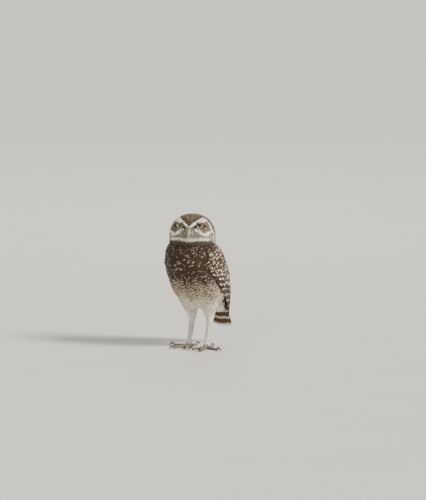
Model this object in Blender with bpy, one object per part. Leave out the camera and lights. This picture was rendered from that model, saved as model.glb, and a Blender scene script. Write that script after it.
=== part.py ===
"""A burrowing owl standing on its own feet, life size: the solids of a still museum model.

Sizes are in millimetres and are turned into metres as each mesh is made. In the body's own
frame -Y is forwards, +X is the owl's left and +Z is up. The feet stand on Z = 0.
"""

import math

import bmesh
import bpy
import numpy as np
from mathutils import Matrix, Vector

MM = 0.001
GAP = 0.3  # air between two pieces that touch

# Head: half sizes about its widest level, which lies CROWN_RISE under the crown
STANDING_HEIGHT = 195.0
CROWN_RISE = 30.0
HEAD_HALF_WIDTH = 32.8
FACE_DEPTH = 28.0
NAPE_DEPTH = 30.0
CROWN_POWER = 2.1
FACE_POWER = 2.9  # the face stays flatter than the sides and the nape as the crown closes
HEAD_AXIS_Y = -10.0
HEAD_YAW = 25.0  # degrees, towards the owl's left
HEAD_LEVEL = STANDING_HEIGHT - CROWN_RISE
HEAD_FOOT_Z = 157.0  # the head is parted from the neck here
NECK_FOOT_Z = 147.0  # and the neck from the trunk here
NECK_TWIST = (136.0, 162.0)  # the head's turn is taken up between these heights
FACE_Z = 170.5  # brows, eyes and bill are placed from this height, in the head's own frame

# Eyes, in the head's own frame
EYE_RADIUS = 8.2
EYE_X, EYE_Z = 14.2, 9.5
EYE_CENTRE_DEPTH = 15.4
EYE_ROOM = 0.6  # air round the ball, enough for the flats of the socket to clear it
EYE_OPENING = (6.9, 6.2)  # half width and half height of the opening between the lids
EYE_SLANT = 12.0  # degrees by which the opening's outer end is raised
SOCKET_ANGLES = (-84.0, -62.0, -36.0, -8.0, 18.0, 38.0)  # rings of the bowl behind the opening
SOCKET_FLARE, SOCKET_REACH = 1.5, 2.5  # the opening widens by this, this many radii ahead

# Swellings of the face: height, side and height of the middle, half width and half height.
# The brow's middle rises outwards with its own slope.
BROW_SWELLING = (2.4, 13.0, 12.0, 3.2)
BROW_INNER, BROW_REACH, BROW_FOOT, BROW_RISE = 4.0, 19.0, 9.5, 8.5
RELIEF_FADE = 1.6  # the swellings fade out towards the sides of the head
FACE_SWELLINGS = (
    (-2.2, EYE_X, EYE_Z - 1.0, 8.5, 7.0),
    (1.3, 15.0, -7.0, 9.0, 6.0),
    (1.8, 0.0, 6.0, 4.0, 9.0),
)

# Body levels: height, middle from front to back, half width, front depth, back depth
BODY_LEVELS = (
    (96.0, 5.7, 41.4, 38.4, 38.6),
    (109.0, 1.3, 42.6, 39.6, 38.4),
    (123.0, -2.8, 42.5, 39.6, 37.0),
    (137.0, -6.5, 39.8, 36.5, 34.0),
    (147.0, -8.8, 35.0, 31.5, 31.0),
    (157.0, -10.0, 32.9, 28.6, 29.2),
    (HEAD_LEVEL, HEAD_AXIS_Y, HEAD_HALF_WIDTH, FACE_DEPTH, NAPE_DEPTH),
)
BELLY_LEVEL = BODY_LEVELS[0][0]
BELLY_DROP = 41.0  # the body closes this far under BELLY_LEVEL
BELLY_ROOM = 1.5  # the space for the trunk reaches this many gaps below it
BELLY_SHIFT = 12.0  # and its lowest point lies this far further back
BELLY_POWER = 2.05
BELLY_CLOSE = 0.2  # the belly's lowest ring lies this far over the point where it closes
FRONT_POWER = 2.35  # above 2 the front is squarer than an ellipse

# Folded wing levels: height, middle, half width, half depth, front edge and rear edge in
# degrees from straight ahead, thickness
WING_LEVELS = (
    (31.0, 46.0, 20.5, 25.5, 152.0, 173.0, 1.3),
    (48.0, 35.0, 26.5, 29.5, 127.0, 176.5, 2.0),
    (68.0, 23.5, 35.5, 35.5, 102.0, 177.5, 3.2),
    (88.0, 12.5, 43.0, 40.0, 79.0, 175.0, 4.6),
    (108.0, 3.5, 47.2, 41.0, 58.0, 164.0, 5.6),
    (126.0, -3.0, 47.2, 39.6, 46.0, 150.0, 5.8),
    (141.0, -6.8, 44.2, 36.4, 48.0, 136.0, 5.2),
    (149.5, -8.3, 39.0, 32.8, 62.0, 119.0, 3.7),
    (154.0, -9.0, 35.3, 30.2, 84.0, 104.0, 1.6),
)
WING_INSET = 2.0  # the wing's inner face is let into the trunk by about this much
WING_EDGE = 1.1  # least thickness along the wing's edges
EDGE_SHARE, EDGE_POWER = 0.25, 3  # the edges keep this share of the middle's thickness
WING_ROOM = 3.0  # a wing's cutter stands this far out of the body, so that nothing is left over it
WING_BLADE_TOP = 141.0
WING_BLADE_LEVELS = 11
WING_SHOULDER = (145.5, 149.5, 152.2)  # heights of the rings where the shoulder closes

# Tail: root and tip of its middle line as (y, z), half widths and half thicknesses
TAIL_ROOT = (32.0, 84.0)
TAIL_TIP = (68.0, 23.0)
TAIL_WIDTHS = (14.0, 16.5, 18.5, 20.0)
TAIL_THICKNESSES = (11.5, 7.0, 2.6, 0.9)
TAIL_CAMBER = 3.0
TAIL_ROUNDING = 0.16  # the share of its length over which the end rounds off
TAIL_END_POWER = 2.6
TAIL_POWER = 2.3

# Legs, for one side: height, x, y, half width, half depth
THIGH_LEVELS = (
    (38.0, 15.3, 10.4, 4.5, 5.1),
    (46.0, 15.5, 10.9, 6.2, 7.4),
    (54.0, 15.9, 9.0, 9.3, 11.2),
    (63.0, 16.6, 6.6, 12.6, 15.2),
    (76.0, 18.0, 4.0, 14.0, 18.0),
)
TARSUS_LEVELS = (
    (7.4, 15.0, 3.0, 3.5, 3.7),
    (14.0, 15.0, 4.6, 3.2, 3.4),
    (27.0, 15.2, 8.0, 3.7, 4.1),
    (37.7, 15.3, 10.4, 4.2, 4.7),
)
FOOT_X, FOOT_Y = 15.0, 2.6
FOOT_RADIUS, FOOT_HEIGHT = 5.3, 7.1
# The foot's pillar: height and share of its radius
FOOT_PROFILE = ((0.0, 0.72), (0.9, 0.96), (3.2, 1.0), (5.6, 0.9), (FOOT_HEIGHT, 0.74))
# Toes: name, degrees from straight ahead towards the outside, length, half thickness
TOES = (
    ("inner", -21.0, 18.5, 2.4),
    ("middle", 17.0, 22.5, 2.5),
    ("outer", 78.0, 18.0, 2.4),
    ("hind", 186.0, 11.5, 2.3),
)
TOE_ROOT = 0.62  # a toe is this share of its width where it leaves the foot
TOE_ROOT_REACH = 0.16  # and has its full width at this share of its length
LONG_TOE = 15.0  # longer toes have three pads, shorter ones two
TOE_THICKENING, TOE_TAPER = 1.04, 0.2
PAD_SWELL = 0.12
PAD_LIFT = 0.45  # the toe clears the ground by this much between its pads
TOE_MIDDLE = 0.86  # height of a toe's middle line in half thicknesses
TOE_POWER = 2.3
CLAW_LENGTH = 9.0
CLAW_ARC = 62.0  # degrees
CLAW_HALF_THICKNESS, CLAW_TIP = 1.45, 0.28
CLAW_TAPER_POWER = 0.75
CLAW_FLATNESS = 0.8
CLAW_LIFT = 0.05  # the claw's tip clears the ground by this much

# Bill, in the head's own frame as (y, z): its ridge, its cutting edge and its underside
RIDGE = ((-19.0, 8.2), (-27.0, 7.4), (-32.0, 3.8), (-34.2, -1.0), (-34.1, -6.4))
CUTTING_EDGE = ((-18.0, -1.8), (-24.0, -2.0), (-28.6, -2.4), (-31.8, -3.4), (-33.7, -6.6))
UPPER_HALF_WIDTHS = (5.2, 4.9, 3.9, 2.3, 0.55)
LOWER_EDGE = ((-18.0, -2.4), (-24.0, -2.6), (-28.2, -3.0), (-31.0, -4.2))
UNDERSIDE = ((-18.0, -6.8), (-24.0, -7.0), (-28.4, -6.6), (-31.3, -5.2))
LOWER_HALF_WIDTHS = (3.8, 3.6, 2.6, 0.7)
BILL_POWER = 2.2

# How finely each piece is drawn: points of a ring, or rings and points
RING_POINTS = 32
BELLY_RINGS, BREAST_RINGS, NECK_RINGS, CHEEK_RINGS, CROWN_RINGS = 8, 9, 4, 4, 12
WING_POINTS = 11
TAIL_POINTS, TAIL_RINGS, TAIL_END_RINGS = 20, 7, 5
THIGH_RINGS, THIGH_POINTS = 9, 16
TARSUS_RINGS, TARSUS_POINTS = 6, 12
FOOT_POINTS = 14
TOE_POINTS = 9
CLAW_RINGS, CLAW_POINTS = 6, 7
BALL_POINTS = 16
BILL_RINGS, BILL_POINTS = 8, 10
CREASE = math.radians(40)

COLOURS = {
    "brown_feather": (0.135, 0.085, 0.055, 0.95),
    "head_feather": (0.21, 0.16, 0.12, 0.95),
    "wing_feather": (0.115, 0.075, 0.048, 0.9),
    "leg_feather": (0.58, 0.50, 0.40, 0.95),
    "toe_skin": (0.30, 0.27, 0.21, 0.6),
    "claw_horn": (0.018, 0.015, 0.014, 0.3),
    "bill_horn": (0.45, 0.44, 0.30, 0.35),
    "eye_yellow": (0.75, 0.50, 0.06, 0.05),
}


def material(name):
    """A plain material in one of the owl's colours."""
    found = bpy.data.materials.get(name)
    if found:
        return found
    made = bpy.data.materials.new(name)
    made.use_nodes = True
    red, green, blue, roughness = COLOURS[name]
    shader = made.node_tree.nodes["Principled BSDF"]
    shader.inputs["Base Color"].default_value = (red, green, blue, 1.0)
    shader.inputs["Roughness"].default_value = roughness
    shader.inputs["Metallic"].default_value = 0.0
    made.diffuse_color = (red, green, blue, 1.0)
    return made


def clear_scene():
    for obj in list(bpy.data.objects):
        bpy.data.objects.remove(obj)


def collection(name, hidden=False):
    made = bpy.data.collections.new(name)
    bpy.context.scene.collection.children.link(made)
    made.hide_render = hidden
    return made


class Maker:
    """Adds pieces and cutters under one parent, so that they move together."""

    def __init__(self):
        self.pieces = collection("burrowing_owl")
        self.cutters = collection("cutters", hidden=True)
        self.parent = bpy.data.objects.new("owl", None)
        self.pieces.objects.link(self.parent)

    def add(self, name, shape, finish):
        obj = self._object(name, shape, self.pieces)
        obj.data.materials.append(material(finish))
        return obj

    def cutter(self, name, shape):
        obj = self._object(name, shape, self.cutters)
        obj.hide_render = True
        obj.display_type = "WIRE"
        return obj

    def _object(self, name, shape, home):
        mesh = bpy.data.meshes.new(name)
        bmesh.ops.recalc_face_normals(shape, faces=shape.faces)
        shape.to_mesh(mesh)
        shape.free()
        mesh.shade_smooth()
        mesh.set_sharp_from_angle(angle=CREASE)
        obj = bpy.data.objects.new(name, mesh)
        home.objects.link(obj)
        obj.parent = self.parent
        return obj


def cut(obj, *cutters):
    for cutter in cutters:
        boolean = obj.modifiers.new(cutter.name, "BOOLEAN")
        boolean.operation = "DIFFERENCE"
        boolean.solver = "EXACT"
        boolean.object = cutter


def smooth_rows(rows, at):
    """Rows of numbers read at the places `at`, from 0 at the first row to 1 at the last."""
    rows = np.array(rows, float)
    knots = np.linspace(0.0, 1.0, len(rows))
    slopes = np.gradient(rows, knots, axis=0)
    found = []
    for place in np.clip(at, 0.0, 1.0):
        i = min(int(place * (len(rows) - 1)), len(rows) - 2)
        step = knots[i + 1] - knots[i]
        t = (place - knots[i]) / step
        found.append(
            (2 * t**3 - 3 * t**2 + 1) * rows[i]
            + (t**3 - 2 * t**2 + t) * step * slopes[i]
            + (3 * t**2 - 2 * t**3) * rows[i + 1]
            + (t**3 - t**2) * step * slopes[i + 1]
        )
    return np.array(found)


def level_row(levels, z):
    """The row of a table of levels at height z, read smoothly between its heights."""
    table = np.array(levels, float)
    i = int(np.clip(np.searchsorted(table[:, 0], z) - 1, 0, len(table) - 2))
    slopes = np.gradient(table, table[:, 0], axis=0)
    step = table[i + 1, 0] - table[i, 0]
    t = np.clip((z - table[i, 0]) / step, 0.0, 1.0)
    return (
        (2 * t**3 - 3 * t**2 + 1) * table[i]
        + (t**3 - 2 * t**2 + t) * step * slopes[i]
        + (3 * t**2 - 2 * t**3) * table[i + 1]
        + (t**3 - t**2) * step * slopes[i + 1]
    )


def loft(rings):
    """A closed skin over rings of the same number of points, with flat ends.

    Every quad is split along the same diagonal, so that a piece and the cutter grown from it
    keep an even gap.
    """
    shape = bmesh.new()
    loops = [[shape.verts.new(Vector(p) * MM) for p in ring] for ring in rings]
    count = len(loops[0])
    sides = []
    for low, high in zip(loops, loops[1:]):
        for i in range(count):
            j = (i + 1) % count
            sides.append(shape.faces.new((low[i], low[j], high[j], high[i])))
    bmesh.ops.triangulate(shape, faces=sides, quad_method="FIXED")
    shape.faces.new(loops[0][::-1])
    shape.faces.new(loops[-1])
    return shape


def rounded(angle, power):
    """Cosine and sine of an angle on a superellipse of this power."""
    c, s = math.cos(angle), math.sin(angle)
    return (
        math.copysign(abs(c) ** (2 / power), c),
        math.copysign(abs(s) ** (2 / power), s),
    )


def bump(x, z, at_x, at_z, wide, high):
    """A round swelling of height 1 at one place of the face."""
    return math.exp(-(((x - at_x) / wide) ** 2) - ((z - at_z) / high) ** 2)


def face_relief(x, z):
    """How far the face stands forward of its round form: brows, cheeks and eye hollows."""
    side = abs(x)
    along_brow = min(max((side - BROW_INNER) / BROW_REACH, 0.0), 1.0)
    height, middle, wide, high = BROW_SWELLING
    relief = height * bump(side, z, middle, BROW_FOOT + BROW_RISE * along_brow, wide, high)
    for height, *place in FACE_SWELLINGS:
        relief += height * bump(side, z, *place)
    return relief


def turned(x, y, yaw):
    """A point turned about the upright axis through the head."""
    angle = math.radians(yaw)
    away = y - HEAD_AXIS_Y
    return (
        x * math.cos(angle) - away * math.sin(angle),
        HEAD_AXIS_Y + x * math.sin(angle) + away * math.cos(angle),
    )


def head_yaw_at(z):
    """The neck takes up the head's turn between the shoulders and the face."""
    share = np.clip((z - NECK_TWIST[0]) / (NECK_TWIST[1] - NECK_TWIST[0]), 0.0, 1.0)
    return HEAD_YAW * share * share * (3 - 2 * share)


def body_ring(z, grow=0.0):
    """The outline of the trunk, neck or head at height z."""
    if z < BELLY_LEVEL:
        _, y, width, front, back = BODY_LEVELS[0]
        share = (BELLY_LEVEL - z) / (BELLY_DROP + BELLY_ROOM * grow)
        closing = (1 - min(share, 0.999) ** BELLY_POWER) ** (1 / BELLY_POWER)
        y += BELLY_SHIFT * share
        width, front, back = width * closing, front * closing, back * closing
    elif z > HEAD_LEVEL:
        share = (z - HEAD_LEVEL) / CROWN_RISE
        closing, face_closing = (
            (1 - min(share, 0.9995) ** power) ** (1 / power)
            for power in (CROWN_POWER, FACE_POWER)
        )
        y = HEAD_AXIS_Y
        width, back = closing * HEAD_HALF_WIDTH, closing * NAPE_DEPTH
        front = face_closing * FACE_DEPTH
    else:
        _, y, width, front, back = level_row(BODY_LEVELS, z)
    ring = []
    for i in range(RING_POINTS):
        angle = 2 * math.pi * i / RING_POINTS
        ahead = math.cos(angle) > 0
        c, s = rounded(angle, FRONT_POWER if ahead else 2.0)
        px = (width + grow) * s
        py = y - c * ((front if ahead else back) + grow)
        if z > HEAD_FOOT_Z and ahead:
            py -= face_relief(px, z - FACE_Z) * min(1.0, c * RELIEF_FADE)
        ring.append((*turned(px, py, head_yaw_at(z)), z))
    return ring


def closing_heights(low, high, steps, rises):
    """Heights that crowd together where a rounded end closes."""
    angles = np.linspace(0.0, math.pi / 2, steps)
    share = np.sin(angles) if rises else 1 - np.cos(angles)
    return low + (high - low) * share


def trunk_heights(grow=0.0):
    bottom = BELLY_LEVEL - BELLY_DROP - BELLY_ROOM * grow
    closing = closing_heights(bottom + BELLY_CLOSE, BELLY_LEVEL, BELLY_RINGS, rises=False)
    return [*closing[:-1], *np.linspace(BELLY_LEVEL, NECK_FOOT_Z, BREAST_RINGS)]


def head_heights():
    face = np.linspace(HEAD_FOOT_Z + GAP, HEAD_LEVEL, CHEEK_RINGS)
    crown = closing_heights(HEAD_LEVEL, STANDING_HEIGHT, CROWN_RINGS, rises=True)[1:]
    return [*face, *crown[:-1], STANDING_HEIGHT]


def wing_ring(z, side, grow=0.0):
    """The folded wing at height z: an arc round the body, thickest in its middle."""
    _, y, width, depth, front, rear, thickness = level_row(WING_LEVELS, z)
    margin = math.degrees(grow / width)
    angles = np.radians(np.linspace(front - margin, rear + margin, WING_POINTS))
    across = np.linspace(-1.0, 1.0, len(angles))
    outer, inner = [], []
    for angle, place in zip(angles, across):
        outward = Vector((math.sin(angle) / width, -math.cos(angle) / depth, 0.0))
        outward.normalize()
        point = Vector((width * math.sin(angle), y - depth * math.cos(angle), z))
        lift = EDGE_SHARE + (1 - EDGE_SHARE) * (1 - abs(place) ** EDGE_POWER)
        sink = (thickness + WING_INSET) * lift
        edge = thickness * (1 - lift)
        outer.append(point - outward * (edge - (WING_ROOM if grow else 0.0)))
        inner.append(point - outward * (edge + max(sink, WING_EDGE) + grow))
    ring = [Vector((side * p.x, p.y, p.z)) for p in outer + inner[::-1]]
    return ring


def wing_heights(grow=0.0):
    blade = np.linspace(WING_LEVELS[0][0], WING_BLADE_TOP, WING_BLADE_LEVELS)
    heights = np.array([*blade, *WING_SHOULDER, WING_LEVELS[-1][0]])
    heights[0] -= grow
    heights[-1] += grow
    return heights


def tail_ring(share, grow=0.0):
    """A cross-section of the tail, arched a little across its width."""
    root, tip = Vector((0.0, *TAIL_ROOT)), Vector((0.0, *TAIL_TIP))
    along = (tip - root).normalized()
    upward = along.cross(Vector((1.0, 0.0, 0.0)))
    width = smooth_rows([[w] for w in TAIL_WIDTHS], [share])[0][0]
    thickness = smooth_rows([[t] for t in TAIL_THICKNESSES], [share])[0][0]
    past = max(0.0, (share - 1 + TAIL_ROUNDING) / TAIL_ROUNDING)
    width *= (1 - min(past, 0.97) ** TAIL_END_POWER) ** (1 / TAIL_END_POWER)
    centre = root + (tip - root) * share
    ring = []
    for i in range(TAIL_POINTS):
        c, s = rounded(2 * math.pi * i / TAIL_POINTS, TAIL_POWER)
        x = (width + grow) * c
        arch = -TAIL_CAMBER * (c * width / TAIL_WIDTHS[-1]) ** 2
        ring.append(centre + Vector((x, 0, 0)) + upward * ((thickness + grow) * s + arch))
    return ring


def tail_shares():
    straight = np.linspace(0.0, 1 - TAIL_ROUNDING, TAIL_RINGS)
    end = closing_heights(1 - TAIL_ROUNDING, 1.0, TAIL_END_RINGS, rises=True)[1:]
    return [*straight, *end]


def upright_tube(levels, count, points, side):
    """A leg piece: level ellipses stacked along a bent path."""
    rings = []
    for z in np.linspace(levels[0][0], levels[-1][0], count):
        _, x, y, wide, deep = level_row(levels, z)
        ring = []
        for i in range(points):
            angle = 2 * math.pi * i / points
            ring.append((side * (x + wide * math.cos(angle)), y + deep * math.sin(angle), z))
        rings.append(ring)
    return loft(rings)


def foot_pad(side):
    """The short pillar at the middle of the foot, with a flat sole."""
    rings = []
    for height, swell in FOOT_PROFILE:
        radius = FOOT_RADIUS * swell
        ring = []
        for i in range(FOOT_POINTS):
            angle = 2 * math.pi * i / FOOT_POINTS
            x, y = radius * math.cos(angle), radius * math.sin(angle)
            ring.append((side * FOOT_X + x, FOOT_Y + y, height))
        rings.append(ring)
    return loft(rings)


def toe_direction(degrees, side):
    angle = math.radians(degrees)
    return Vector((side * math.sin(angle), -math.cos(angle), 0.0))


def toe(degrees, length, thickness, side):
    """A toe with pads: its underside is flat on the ground under each pad."""
    along = toe_direction(degrees, side)
    across = Vector((-along.y, along.x, 0.0))
    start = Vector((side * FOOT_X, FOOT_Y, 0.0)) + along * (FOOT_RADIUS + GAP)
    pads = 3 if length > LONG_TOE else 2
    rings = []
    for share in np.linspace(0.0, 1.0, 3 * pads + 1):
        pad = 0.5 - 0.5 * math.cos(2 * math.pi * pads * share)
        half = thickness * (TOE_THICKENING - TOE_TAPER * share) * (1 - PAD_SWELL * (1 - pad))
        lift = PAD_LIFT * (1 - pad)
        root = min(1.0, TOE_ROOT + (1 - TOE_ROOT) * share / TOE_ROOT_REACH)
        middle = start + along * (length * share) + Vector((0, 0, half * TOE_MIDDLE))
        ring = []
        for i in range(TOE_POINTS):
            c, s = rounded(2 * math.pi * (i + 0.5) / TOE_POINTS, TOE_POWER)
            point = middle + across * (half * root * c) + Vector((0, 0, half * s))
            point.z = max(point.z, lift)
            ring.append(point)
        rings.append(ring)
    return loft(rings)


def claw(degrees, toe_length, side):
    """A claw that arches forwards and down from the toe's end to the ground."""
    along = toe_direction(degrees, side)
    across = Vector((-along.y, along.x, 0.0))
    reach = FOOT_RADIUS + toe_length + 2 * GAP
    start = Vector((side * FOOT_X, FOOT_Y, 0.0)) + along * reach
    arc = math.radians(CLAW_ARC)
    radius = CLAW_LENGTH / arc
    rings = []
    for share in np.linspace(0.0, 1.0, CLAW_RINGS):
        turn = arc * share
        forward = radius * math.sin(turn)
        drop = radius * (1 - math.cos(turn))
        half = CLAW_HALF_THICKNESS * (1 - share) ** CLAW_TAPER_POWER + CLAW_TIP
        middle = start + along * forward - Vector((0, 0, drop))
        upward = Vector((0, 0, math.cos(turn))) + along * math.sin(turn)
        ring = []
        for i in range(CLAW_POINTS):
            c, s = rounded(2 * math.pi * i / CLAW_POINTS, 2.0)
            ring.append(middle + across * (CLAW_FLATNESS * half * c) + upward * (half * s))
        rings.append(ring)
    lowest = min(point[2] for ring in rings for point in ring)
    settle = Vector((0, 0, CLAW_LIFT - lowest))
    return loft([[point + settle for point in ring] for ring in rings])


def head_point(x, y, z):
    """A point given in the head's own frame, set on the turned head."""
    turned_x, turned_y = turned(x, HEAD_AXIS_Y + y, HEAD_YAW)
    return Vector((turned_x, turned_y, FACE_Z + z))


def eye_ball(side):
    shape = bmesh.new()
    bmesh.ops.create_uvsphere(
        shape, u_segments=BALL_POINTS, v_segments=BALL_POINTS // 2, radius=EYE_RADIUS * MM
    )
    centre = head_point(side * EYE_X, -EYE_CENTRE_DEPTH, EYE_Z)
    facing = Matrix.Rotation(math.radians(HEAD_YAW), 4, "Z") @ Matrix.Rotation(
        math.radians(90), 4, "X"
    )
    bmesh.ops.transform(shape, matrix=facing, verts=shape.verts)
    bmesh.ops.translate(shape, vec=centre * MM, verts=shape.verts)
    return shape


def eye_socket(side):
    """The room for an eye: a bowl round the ball, open to the front between the lids."""
    reach = EYE_RADIUS + EYE_ROOM
    slant = math.radians(EYE_SLANT) * side
    stations = [
        (math.sin(angle) * reach, math.cos(angle) * reach, math.cos(angle) * reach)
        for angle in np.radians(SOCKET_ANGLES)
    ]
    flared = (SOCKET_FLARE * size for size in EYE_OPENING)
    stations += [(reach, *EYE_OPENING), (SOCKET_REACH * reach, *flared)]
    rings = []
    for ahead, wide, high in stations:
        ring = []
        for i in range(BALL_POINTS):
            x = wide * math.cos(2 * math.pi * i / BALL_POINTS)
            z = high * math.sin(2 * math.pi * i / BALL_POINTS)
            across = x * math.cos(slant) - z * math.sin(slant)
            upward = x * math.sin(slant) + z * math.cos(slant)
            place = (side * EYE_X + across, -EYE_CENTRE_DEPTH - ahead, EYE_Z + upward)
            ring.append(head_point(*place))
        rings.append(ring)
    return loft(rings)


def mandible(top, bottom, half_widths, grow=0.0):
    """Half of the bill, lofted between its upper and its lower edge."""
    places = np.linspace(0.0, 1.0, BILL_RINGS)
    upper = smooth_rows(top, places)
    lower = smooth_rows(bottom, places)
    widths = smooth_rows([[w] for w in half_widths], places)[:, 0]
    rings = []
    for high, low, width in zip(upper, lower, widths):
        middle, reach = (high + low) / 2, (high - low) / 2
        reach *= 1 + grow / max(np.linalg.norm(reach), 0.4)
        ring = []
        for i in range(BILL_POINTS):
            c, s = rounded(2 * math.pi * i / BILL_POINTS, BILL_POWER)
            y, z = middle + reach * s
            ring.append(head_point((width + grow) * c, y, z))
        rings.append(ring)
    if grow:
        outward = (rings[-1][0] - rings[-2][0]).normalized() * grow
        rings[-1] = [point + outward for point in rings[-1]]
    return loft(rings)


def make_legs(maker, trunk_cutter):
    for side, word in ((1, "left"), (-1, "right")):
        shape = upright_tube(THIGH_LEVELS, THIGH_RINGS, THIGH_POINTS, side)
        cut(maker.add(f"thigh_{word}", shape, "leg_feather"), trunk_cutter)
        shape = upright_tube(TARSUS_LEVELS, TARSUS_RINGS, TARSUS_POINTS, side)
        maker.add(f"tarsus_{word}", shape, "leg_feather")
        maker.add(f"foot_{word}", foot_pad(side), "toe_skin")
        for name, degrees, length, thickness in TOES:
            maker.add(
                f"toe_{word}_{name}", toe(degrees, length, thickness, side), "toe_skin"
            )
            maker.add(f"claw_{word}_{name}", claw(degrees, length, side), "claw_horn")


def make_body(maker):
    """Head, neck, trunk, wings and tail, parted by thin gaps."""
    wing_cutters = []
    for side, word in ((1, "left"), (-1, "right")):
        rings = [wing_ring(z, side) for z in wing_heights()]
        maker.add(f"wing_{word}", loft(rings), "wing_feather")
        rings = [wing_ring(z, side, GAP) for z in wing_heights(GAP)]
        wing_cutters.append(maker.cutter(f"wing_space_{word}", loft(rings)))
    tail = maker.add("tail", loft([tail_ring(s) for s in tail_shares()]), "wing_feather")
    cut(tail, *wing_cutters)
    tail_space = maker.cutter("tail_space", loft([tail_ring(s, GAP) for s in tail_shares()]))
    trunk = maker.add("trunk", loft([body_ring(z) for z in trunk_heights()]), "brown_feather")
    cut(trunk, *wing_cutters, tail_space)
    neck_heights = np.linspace(NECK_FOOT_Z + GAP, HEAD_FOOT_Z, NECK_RINGS)
    neck = maker.add("neck", loft([body_ring(z) for z in neck_heights]), "brown_feather")
    cut(neck, *wing_cutters)
    grown = [body_ring(z, GAP) for z in trunk_heights(GAP)]
    return maker.cutter("trunk_space", loft(grown))


def make_head(maker):
    head = maker.add("head", loft([body_ring(z) for z in head_heights()]), "head_feather")
    for side, word in ((1, "left"), (-1, "right")):
        maker.add(f"eye_{word}", eye_ball(side), "eye_yellow")
        cut(head, maker.cutter(f"socket_{word}", eye_socket(side)))
    upper = (RIDGE, CUTTING_EDGE, UPPER_HALF_WIDTHS)
    lower = (LOWER_EDGE, UNDERSIDE, LOWER_HALF_WIDTHS)
    maker.add("bill_upper", mandible(*upper), "bill_horn")
    maker.add("bill_lower", mandible(*lower), "bill_horn")
    cut(head, maker.cutter("bill_upper_space", mandible(*upper, grow=GAP)))
    cut(head, maker.cutter("bill_lower_space", mandible(*lower, grow=GAP)))


def centre_on_origin(maker):
    """Moves the whole owl so that the middle of its outline stands over the origin."""
    bpy.context.view_layer.update()
    graph = bpy.context.evaluated_depsgraph_get()
    corners = []
    for obj in maker.pieces.objects:
        if obj.type == "MESH":
            evaluated = obj.evaluated_get(graph)
            corners += [evaluated.matrix_world @ Vector(c) for c in evaluated.bound_box]
    corners = np.array(corners)
    middle = (corners.min(0) + corners.max(0)) / 2
    maker.parent.location = (-middle[0], -middle[1], 0.0)


def build():
    clear_scene()
    maker = Maker()
    trunk_cutter = make_body(maker)
    make_head(maker)
    make_legs(maker, trunk_cutter)
    centre_on_origin(maker)


build()
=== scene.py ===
"""A life-size burrowing owl for a plain studio: skin, feathers, eyes, bill and claws.

Places are worked out in millimetres in the owl's own frame, where +X is the owl's left, -Y is
forwards and Z is the height over the floor, and are turned into metres as each mesh is made.
"""

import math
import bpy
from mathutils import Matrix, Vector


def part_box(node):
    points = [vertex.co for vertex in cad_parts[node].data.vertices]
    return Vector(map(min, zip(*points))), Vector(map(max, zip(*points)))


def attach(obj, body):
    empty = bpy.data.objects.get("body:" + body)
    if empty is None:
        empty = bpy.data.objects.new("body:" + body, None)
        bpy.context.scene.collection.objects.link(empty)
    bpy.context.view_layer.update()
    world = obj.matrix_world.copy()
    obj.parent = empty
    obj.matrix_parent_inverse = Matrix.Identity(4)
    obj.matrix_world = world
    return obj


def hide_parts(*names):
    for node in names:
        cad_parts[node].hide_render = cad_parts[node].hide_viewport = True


bl_info = {
    "name": "Burrowing Owl",
    "version": (1, 0, 0),
    "blender": (4, 5, 0),
    "location": "View3D > Sidebar > Owl",
    "description": "Dresses the solids of a standing burrowing owl in skin, feathers, eyes and horn",
    "category": "Object",
}

import bmesh
import bpy
import numpy as np
from mathutils import Matrix, Vector
from mathutils.bvhtree import BVHTree

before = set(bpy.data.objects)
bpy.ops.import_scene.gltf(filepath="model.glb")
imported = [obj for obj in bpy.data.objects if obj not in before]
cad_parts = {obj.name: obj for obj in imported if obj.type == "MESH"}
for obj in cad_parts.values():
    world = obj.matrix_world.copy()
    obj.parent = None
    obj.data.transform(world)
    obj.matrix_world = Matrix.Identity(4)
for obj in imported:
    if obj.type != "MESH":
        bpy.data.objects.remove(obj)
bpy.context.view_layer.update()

MM = 0.001
SIDES = ((1, "left"), (-1, "right"))
TOE_NAMES = ("inner", "middle", "outer", "hind")

# Landmarks of the owl's own frame
FOOT_X, FOOT_Y = 15.0, 2.6
HEAD_AXIS_Y = -10.0
HEAD_YAW = math.radians(25.0)
NECK_TWIST = (136.0, 162.0)
FACE_Z = 170.5
EYE_X, EYE_Z = 14.1, 10.7  # the middle of the opening between the lids
BILL_AHEAD, BILL_UP = 27.0, 3.0
TAIL_ROOT, TAIL_TIP = (32.0, 84.0), (68.0, 23.0)
# The middle of the body from front to back, by height
BODY_HEIGHTS = (55.0, 75.0, 96.0, 123.0, 147.0, 165.0)
BODY_MIDDLES = (17.0, 12.0, 5.7, -2.8, -8.8, -10.0)

# The photograph: its size, and where the crown and the middle of the head stand in it
PHOTO_SIZE = (426, 500)
HEAD_MIDDLE_PX, CROWN_PX = 192.5, 213.5
MM_PER_PX = 1.42
CROWN_Z = 195.0
CAMERA_AZIMUTH, CAMERA_HEIGHT_ANGLE = math.radians(35.0), math.radians(8.0)
CAMERA_DISTANCE = 6.0
LIGHT_DISTANCE = 2.2

# Parts of the plumage
HEAD, NECK, TRUNK, WING, TAIL, THIGH, SHANK, TOE, BILL, EYE = range(10)
HEAD_PARTS = (HEAD, BILL, EYE)
PART_OF = {"head": HEAD, "neck": NECK, "trunk": TRUNK, "tail": TAIL}
for _, word in SIDES:
    PART_OF[f"wing_{word}"] = WING
    PART_OF[f"thigh_{word}"] = THIGH
    PART_OF[f"tarsus_{word}"] = SHANK
    PART_OF[f"foot_{word}"] = TOE
    for toe in TOE_NAMES:
        PART_OF[f"toe_{word}_{toe}"] = TOE
FLESH = tuple(PART_OF)
# Kept as room inside the skin, so that the eyes and the bill stand out of it without a gap
FILLERS = {"eye_left": EYE, "eye_right": EYE, "bill_upper": BILL, "bill_lower": BILL}
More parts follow.
